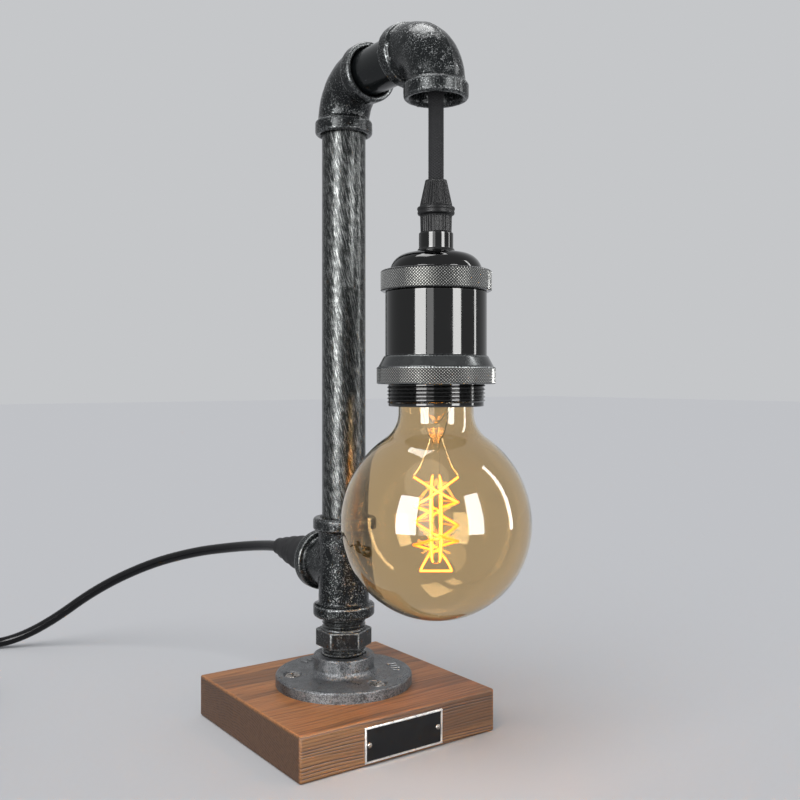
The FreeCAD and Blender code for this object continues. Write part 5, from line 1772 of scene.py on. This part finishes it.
@dataclass
class Bulb:
    """The globe bulb, in millimetres below or above its globe's middle."""

    reach: float = -74.0
    centre: float = 106.8
    globe: float = 40.5
    offset: float = 4.0
    neck: float = 16.0
    flare: float = 13.0
    neck_top: float = 53.9
    spigot: float = 11.4
    wall: float = 0.9
    globe_sides: int = 224
    turn: float = 35.4
    strand_radius: float = 9.4
    wire: float = 0.55
    hook_wire: float = 0.2
    top_depth: float = 34.3
    hook_depth: float = 45.0
    hook_fall: float = 4.15
    hooks: int = 6
    foot_depth: float = 74.3

    STEM = ((10.4, 5.0), (9.6, 1.0), (7.5, -2.0), (5.4, -8.0), (4.0, -15.0), (3.2, -17.5))
    ROD = ((1.5, -20.0), (1.5, -69.4), (1.9, -70.0), (1.2, -70.9), (0.0, -71.1))
    HOLLOW = ((9.4, 5.0), (6.4, -2.0), (2.0, -10.5), (0.0, -12.0))
    UPRIGHT = ((1.2, 33.7), (2.2, 34.4), (2.2, 52.0), (2.2, 69.6), (1.2, 70.4))

    def build(self) -> None:
        """Make the glass, its stem and the glowing filament."""
        self.glass()
        self.stem()
        self.filament()
        dress_nodes(CAP_METAL, "bulb_cap", "tip_contact", "lead_wires")
        dress_nodes(BLACK_GLASS, "cap_insulator")

    def skin(self, wall: float) -> list[tuple[float, float]]:
        """Return the globe's outline from its pole to its spigot.

        Args:
            wall: How far in from the outside it lies.
        """
        across = self.neck + self.flare + self.offset
        height = math.sqrt((self.globe + self.offset + self.flare) ** 2 - across**2)
        meeting = math.degrees(math.atan2(height, across))
        outline = arc((0.0, 0.0), self.globe - wall, -90.0, 0.0, 48)
        flank = arc((-self.offset, 0.0), self.globe + self.offset - wall, 0.0, meeting, 24)
        sweep = (180.0 + meeting, 180.0)
        outline += flank[1:] + arc((self.neck + self.flare, height), self.flare + wall, *sweep)[1:]
        outline.append((self.neck - wall, self.neck_top - 2.5 - wall))
        return outline + [(self.spigot - wall, self.neck_top + up) for up in (-wall, 5.0)]

    def glass(self) -> None:
        """Make the blown amber globe."""
        piece = Workpiece("amber_globe", AMBER)
        outline = self.skin(0.0) + self.skin(self.wall)[::-1]
        piece.lathe(outline, Seat.UP.at(y=self.reach, z=self.centre), self.globe_sides)
        piece.hand_over("bulb", "amber_glass", ["bulb_glass"], crease=40.0)

    def stem(self) -> None:
        """Make the pressed glass stem and the rod that carries the hooks."""
        piece = Workpiece("drawn_glass_stem", STEM_GLASS)
        seat = Seat.UP.at(y=self.reach, z=self.centre + self.neck_top)
        piece.lathe([*self.ROD[::-1], *self.STEM[::-1], *self.HOLLOW], seat, 64, 0.5)
        piece.hand_over("bulb", "stem_glass", ["glass_stem"], crease=40.0)

    def around(self, radius: float, angle: float, depth: float) -> Point:
        """Return a point about the bulb's axis, in metres.

        Args:
            radius: Its distance from the axis.
            angle: Its side, in degrees.
            depth: How far it is below the cap.
        """
        turn = math.radians(angle - self.turn)
        height = self.centre + self.neck_top - depth
        y = self.reach + radius * math.sin(turn)
        return (radius * math.cos(turn) * MM, y * MM, height * MM)

    def strand(
        self, start: float, sense: int, drop: float
    ) -> tuple[list[Point], list[Sequence[Point]]]:
        """Return one strand's way from its lead down its hooks, and the hooks' own wires.

        Args:
            start: The side of its lead, in degrees.
            sense: Which way round the rod it winds.
            drop: How much lower than the other strand's its hooks are.
        """
        points = [self.around(self.strand_radius, start, self.top_depth)]
        points.append(self.around(2.9, start + 90 * sense, self.top_depth + 5.7 + 0.6 * drop))
        holders = []
        for step in range(self.hooks):
            angle = start + sense * (180 + 90 * step)
            depth = self.hook_depth + drop + self.hook_fall * step
            for slip in (-4.0, 4.0):
                points.append(self.around(self.strand_radius, angle + slip * sense, depth))
            ends = ((1.2, depth - 0.9), (5.0, depth - 0.45), (self.strand_radius - 0.2, depth))
            holders.append([self.around(radius, angle, low) for radius, low in ends])
        points.append(self.around(3.3, start, self.foot_depth - 6.6))
        return points, holders

    def filament(self) -> None:
        """Wind the two strands opposite ways about the rod, and join them below it."""
        left, left_holders = self.strand(180.0, 1, 0.0)
        right, right_holders = self.strand(0.0, -1, 1.6)
        corners = ((7.0, 180), (6.0, 180), (6.0, 0), (7.0, 0))
        foot = [self.around(radius, angle, self.foot_depth) for radius, angle in corners]
        wires = [[*left, *foot, *reversed(right)]]
        for angle in (180.0, 0.0):
            wires.append([self.around(radius, angle, depth) for radius, depth in self.UPRIGHT])
        item = lay_wire("glowing_filament", wires, self.wire * MM, FILAMENT)
        declare(item, "bulb", "filament_glow", ["filament"])
        holders = [*left_holders, *right_holders]
        # Painted glow on the hooks.
        hooks = lay_wire("filament_hooks", holders, self.hook_wire * MM, HOOK_PAINTED_GLOW)
        declare(hooks, "bulb", "cap_metal", ["support_wires"])


# Mains cord and its pieces


@dataclass
class MainsLead:
    """The mains cord from the boot through the switch and coil to the plug, in millimetres."""

    radius: float = 2.9
    boot_root: float = 24.1
    height: float = 76.8
    switch_at: Point = (-160.0, 150.0, 0.0)
    switch_seam: float = 8.1
    switch_top: float = 17.0
    rocker_at: float = 13.4
    rocker_tilt: float = -8.0
    coil_at: Point = (-201.2, 70.0, 0.0)
    outer_turn: float = 41.2
    inner_turn: float = 23.8
    turn_gap: float = 5.8
    turns: float = 6.5
    points_per_turn: int = 14
    strap_turn: float = 250.0
    plug_at: Point = (-217.5, 160.0, 0.0)
    plug_thickness: float = 13.7
    plug_axis: float = 6.85
    pin_spacing: float = 9.5

    BOOT_TO_SWITCH = (
        (0.0, 66.8, 76.8), (-0.5, 89.0, 74.0), (-5.0, 115.0, 69.6), (-16.5, 143.5, 63.8),
        (-34.5, 171.5, 54.0), (-58.0, 197.0, 37.5), (-82.0, 217.0, 15.0), (-101.5, 231.0, 3.6),
        (-118.4, 236.4, 2.9), (-135.0, 234.4, 2.9), (-149.2, 225.0, 2.9), (-157.8, 210.6, 4.0),
        (-160.1, 194.6, 7.5), (-160.0, 181.0, 8.0),
    )
    SWITCH_TO_COIL = (
        (-160.0, 119.0, 8.0), (-160.0, 106.0, 7.3), (-160.1, 91.5, 4.5), (-160.1, 80.0, 3.0),
    )
    COIL_TO_PLUG = (
        (-242.4, 81.0, 7.9), (-242.4, 94.0, 5.2), (-241.8, 108.0, 3.1), (-237.0, 122.0, 2.9),
        (-229.0, 134.2, 3.9), (-220.4, 146.0, 6.0), (-217.5, 160.0, 6.85),
    )
    BOOT_STEPS = ((9.2, 19.1), (7.9, 8.0), (6.3, 8.0), (4.8, 7.2))
    ROCKER_DISH = ((7, 4.15), (3.5, 3.55), (0, 3.3), (-3.5, 3.55), (-7, 4.15))
    PLUG_SIDE = ((13.5, 16.5), (16.4, 24), (17, 30), (17, 48))

    def build(self) -> None:
        """Make the cord and everything on it."""
        on_it = [self.switch_housing(), self.rocker(), self.plug(), self.plug_pins(), self.strap()]
        on_it += [frame["nodes"][name] for name in ("switch_screws", "switch_contacts")]
        self.cord([self.boot(), *on_it])
        dress_nodes(SCREW, "switch_screws")
        dress_nodes(BRASS, "switch_contacts", "wire_splices")
        dress_nodes(PVC, "inner_mains_cord")
        dress_nodes(INSULATION, "riser_cable")

    def coil_turns(self) -> list[Point]:
        """Return the coil's own points: turns side by side on the table, then back on top."""
        points, half = [], self.turns / 2
        x, y, _ = self.coil_at
        for step in range(round(self.turns * self.points_per_turn) + 1):
            turn = step / self.points_per_turn
            inward = turn if turn < half else self.turns - turn
            radius = max(self.inner_turn, self.outer_turn - self.turn_gap * inward)
            rise = min(1.0, max(0.0, (turn - half + 0.25) / 0.4))
            angle = -math.tau * turn
            place = (x + radius * math.cos(angle), y + radius * math.sin(angle))
            points.append((*place, self.radius + self.turn_gap * rise))
        return points

    def cord(self, on_it: list[bpy.types.Object]) -> None:
        """Lay the one length of cord.

        Args:
            on_it: The pieces that the cord carries.
        """
        route = [(0.0, 50.0, 76.8), *self.BOOT_TO_SWITCH, *self.SWITCH_TO_COIL]
        route += [*self.coil_turns(), *self.COIL_TO_PLUG]
        metres = [tuple(part * MM for part in place) for place in route]
        item = lay_wire("mains_cord", [metres], self.radius * MM, PVC)
        lengths = ["mains_cord_lamp_end", "mains_cord_middle", "mains_cord_plug_end"]
        declare(item, "stand", "black_pvc", [*lengths, "cord_coil"])
        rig.cord(
            item,
            exit=(0.0, 0.0668, 0.0768),
            length=1.82,
            diameter=2 * self.radius * MM,
            far_end="plug",
            stiffness="medium",
            lay="loose",
            with_pieces=on_it,
        )

    def boot(self) -> bpy.types.Object:
        """Make the stepped rubber boot."""
        piece = Workpiece("stepped_boot", RUBBER)
        root, reach = self.boot_root - 8.0, self.boot_root + 0.4
        outline = [(2.9, root), (10.3, root), (10.3, self.boot_root - 0.5)]
        for radius, length in self.BOOT_STEPS:
            tip = reach + length
            outline += [(radius, reach), (radius - 0.3, tip - 1.0)]
            outline += [(radius - 1.1, tip - 0.6), (radius - 1.1, tip)]
            reach = tip
        outline[-2:] = [(3.6, reach - 0.1), (2.95, reach)]
        piece.lathe(outline, Seat.BACK.at(z=self.height), 72, 0.3, closed=True)
        return piece.hand_over("stand", "black_rubber", ["cord_boot"])

    def switch_plan(self, inset: float) -> Outline:
        """Return the switch's plan: a long box whose ends taper to the cord.

        Args:
            inset: How far in from the outside it lies.
        """
        wide, narrow, half, waist = 12.5 - inset, 6.5 - inset, 31.0 - inset, 20.0
        near = [(wide, -waist), (wide, waist), (narrow, half), (-narrow, half)]
        return [*near, *((-x, -y) for x, y in near)]

    def switch_housing(self) -> bpy.types.Object:
        """Make the switch's two-part housing with its seam and rocker window."""
        piece = Workpiece("inline_switch_housing", PLASTIC)
        seat = Matrix.Translation(self.switch_at)
        foot, seam, top = 7.8, self.switch_seam, self.switch_top
        piece.round_edges(piece.prism(self.switch_plan(0.0), 0.0, foot, seat), 1.2, flat_at=foot)
        piece.prism(self.switch_plan(0.35), 7.4, 8.4, seat)
        piece.round_edges(piece.prism(self.switch_plan(0.0), seam, top, seat), 1.5, flat_at=seam)
        window = Workpiece("window", PLASTIC)
        window.block((-6.4, -10.9, 9.5), (6.4, 10.9, 20.0), 0.0, seat)
        piece.carve(window)
        halves = ["switch_housing_bottom", "switch_housing_top"]
        return piece.hand_over("stand", "black_plastic", halves)

    def rocker(self) -> bpy.types.Object:
        """Make the rocker, dished along its length, with a raised dot at one end."""
        piece = Workpiece("dished_rocker", PLASTIC)
        pivot = Matrix.Translation((*self.switch_at[:2], self.rocker_at))
        tilted = pivot @ Matrix.Rotation(math.radians(self.rocker_tilt), 4, "X")
        onto_side = Matrix(((0, 0, 1, 0), (1, 0, 0, 0), (0, 1, 0, 0), (0, 0, 0, 1)))
        side = [(-10, -2.6), (10, -2.6), (10, 4.5), *self.ROCKER_DISH, (-10, 4.5)]
        piece.round_edges(piece.prism(side, -6.0, 6.0, tilted @ onto_side), 0.45, fold=0.5)
        mark = tilted @ Matrix.Translation((0, -7.2, 4.05))
        piece.lathe([(0, -0.4), (1.1, -0.4), (1.1, 0.25), (0, 0.42)], mark, 32, 0.15)
        return piece.hand_over("rocker", "black_plastic", ["switch_rocker"])

    def plug(self) -> bpy.types.Object:
        """Make the moulded flat plug with its grip ribs and its ribbed neck."""
        piece = Workpiece("moulded_plug", PVC)
        seat = Matrix.Translation(self.plug_at)
        plan = [(-8, 12), (8, 12), *self.PLUG_SIDE, *((-x, y) for x, y in self.PLUG_SIDE[::-1])]
        body = piece.prism(plan, 0.0, self.plug_thickness, seat)
        piece.round_edges(body, 1.6, fold=0.9)
        for side in (-1, 1):
            inner, outer = sorted((side * 16.2, side * 17.0))
            for row in range(4):
                foot = 27.0 + 4.2 * row
                piece.block((inner, foot, 3.0), (outer, foot + 1.8, 10.7), 0.35, seat)
        outline = [(0.0, 0.0), (3.3, 0.0), (3.6, 0.5)]
        for ring in range(4):
            foot, radius = 1.6 + 2.6 * ring, 3.8 + 0.22 * ring
            outline += [(radius - 0.5, foot), (radius - 0.5, foot + 0.7)]
            outline += [(radius, foot + 1.0), (radius, foot + 2.2)]
        outline += [(5.4, 13.0), (5.4, 18.0), (0.0, 18.0)]
        neck = Seat.BACK.at(*self.plug_at[:2], self.plug_axis)
        piece.lathe(outline, neck, 48, 0.15)
        return piece.hand_over("stand", "black_plastic", ["plug_body"])

    def plug_pins(self) -> bpy.types.Object:
        """Make the two pins, insulated near the plug and round at the tip."""
        piece = Workpiece("round_plug_pins", SCREW, PLASTIC)
        x, y, _ = self.plug_at
        for side in (-1, 1):
            seat = Seat.BACK.at(x + side * self.pin_spacing, y + 48.0, self.plug_axis)
            piece.finish = 0
            piece.lathe([(0, -6), (1.9, -6), (1.9, 18.2), (1.2, 19.0), (0, 19.0)], seat, 32, 0.5)
            piece.finish = 1
            piece.lathe([(0, -1), (2.0, -1), (2.0, 9.6), (1.85, 10.0), (0, 10.0)], seat, 32)
        return piece.hand_over("stand", "bright_steel", ["plug_pins"])

    def strap(self) -> bpy.types.Object:
        """Make the strap that holds the coil together."""
        piece, hole = Workpiece("coil_strap", STRAP), Workpiece("loop", PLASTIC)
        inner = self.outer_turn - self.turn_gap * 3.25 - self.radius
        outer = self.outer_turn + self.radius
        upright = Matrix(((1, 0, 0, 0), (0, 0, -1, 0), (0, 1, 0, 0), (0, 0, 0, 1)))
        seat = Matrix.Translation(self.coil_at) @ spin_about_z(self.strap_turn) @ upright
        for part, play, low, high, half in (
            (piece, 0.9, 0.02, 12.2, 5.0),
            (hole, 0.2, 0.35, 11.6, 9.0),
        ):
            near, far = inner - play, outer + play
            part.prism([(near, low), (far, low), (far, high), (near, high)], -half, half, seat)
        piece.carve(hole)
        return piece.hand_over("stand", "black_plastic")


# Studio


@dataclass(frozen=True)
class Strip:
    """A soft strip light that only draws its highlights, in metres.

    It stands some degrees to the left of the camera, about the socket. Its glare is how bright
    its face is, where white paper in the room is about one.
    """

    name: str
    turn: float
    away: float
    height: float
    wide: float
    tall: float
    glare: float

    def hang(self, bearing: float) -> None:
        """Hang the strip, aimed at the socket.

        Args:
            bearing: Where the camera looks, in degrees.
        """
        light = bpy.data.lights.new(self.name, "AREA")
        light.shape = "RECTANGLE"
        light.size, light.size_y = self.wide, self.tall
        light.energy = self.glare * math.pi * self.wide * self.tall
        item = put_in_scene(self.name, light)
        item.visible_diffuse = False
        turn = math.radians(-90.0 + bearing - self.turn)
        out = (math.cos(turn) * self.away, math.sin(turn) * self.away, self.height)
        socket = Vector((0.0, -0.074, 0.0))
        item.location = socket + Vector(out)
        aim = socket + Vector((0.0, 0.0, 0.25)) - item.location
        item.rotation_euler = aim.to_track_quat("-Z", "Y").to_euler()


@dataclass
class Studio:
    """The table, the lights and the camera, in metres."""

    eye: Point = (-0.2456, -0.3931, 0.1686)
    bearing: float = -35.4
    focal: float = 42.525
    shift: float = -0.0275
    table_reach: float = 6.0
    table_tint: Colour = (0.58, 0.585, 0.60)
    room_tint: Colour = (0.48, 0.49, 0.51)
    backdrop_tint: Colour = (0.56, 0.57, 0.585)
    sunshine: float = 1.7

    STRIPS = (
        Strip("left_strip", 37.0, 1.0, 0.33, 0.44, 0.80, 15.5),
        Strip("left_fill", 15.0, 1.0, 0.33, 0.26, 0.80, 3.0),
        Strip("right_strip", -45.0, 1.0, 0.33, 0.34, 0.80, 15.5),
        Strip("rim_strip", -95.0, 1.0, 0.45, 0.10, 1.2, 13.0),
        Strip("overhead", 150.0, 0.25, 1.35, 0.75, 0.5, 8.0),
    )

    def build(self) -> None:
        """Set up the whole studio."""
        self.table()
        self.world()
        self.camera()
        for strip in self.STRIPS:
            strip.hang(self.bearing)
        self.daylight()
        bpy.context.scene.view_settings.view_transform = "Standard"

    def table(self) -> None:
        """Make the plain pale floor."""
        mesh = bmesh.new()
        bmesh.ops.create_grid(mesh, x_segments=1, y_segments=1, size=self.table_reach)
        data = bpy.data.meshes.new("floor")
        mesh.to_mesh(data)
        mesh.free()
        floor = put_in_scene("floor", data)
        floor.location = (0.0, 0.0, -0.0002)
        finish = bpy.data.materials.new("pale_floor")
        Surface(finish).give(Base_Color=self.table_tint, Roughness=0.75, Specular_IOR_Level=0.0)
        data.materials.append(finish)
        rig.stage(floor)

    def world(self) -> None:
        """Fill the room with soft light and a pale backdrop."""
        made = bpy.data.worlds.new("room")
        made.use_nodes = True
        graph = Graph(made.node_tree)
        backdrop = made.node_tree.nodes["Background"].inputs
        path = graph.add("LightPath").outputs
        seen = graph.calc("MAXIMUM", path["Is Camera Ray"], path["Is Transmission Ray"])
        seen = graph.calc("MAXIMUM", seen, path["Is Glossy Ray"])
        tint = graph.blend(seen, self.room_tint, self.backdrop_tint)
        graph.feed(backdrop["Color"], tint)
        graph.feed(backdrop["Strength"], 1.0)
        bpy.context.scene.world = made

    def camera(self) -> None:
        """Set the camera."""
        data = bpy.data.cameras.new("camera")
        data.sensor_width = 36.0
        data.lens = self.focal
        data.shift_y = self.shift
        data.clip_start = 0.01
        item = put_in_scene("camera", data)
        item.location = self.eye
        item.rotation_euler = (math.radians(90.0), 0.0, math.radians(self.bearing))
        bpy.context.scene.camera = item

    def daylight(self) -> None:
        """Let soft light fall evenly from above the camera's left."""
        light = bpy.data.lights.new("daylight", "SUN")
        light.energy = self.sunshine
        light.angle = math.radians(50.0)
        item = put_in_scene("daylight", light)
        item.visible_glossy = False
        item.rotation_euler = Vector((0.62, 0.42, -1.0)).to_track_quat("-Z", "Y").to_euler()


def main() -> None:
    """Build the lamp piece by piece, then the studio about it."""
    logging.basicConfig(level=logging.INFO, format="%(name)s: %(message)s")
    for assembly in (MainsLead(), Base(), Pipework(), Pendant(), Bulb(), Studio()):
        LOG.info("building %s", type(assembly).__name__)
        assembly.build()
    with open("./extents.json", "w", encoding="utf-8") as sizes:
        json.dump({"cad": [list(c) for c in CAD_BOX], "visual": [list(c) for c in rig.bounds()]}, sizes)


if __name__ == "__main__":
    main()
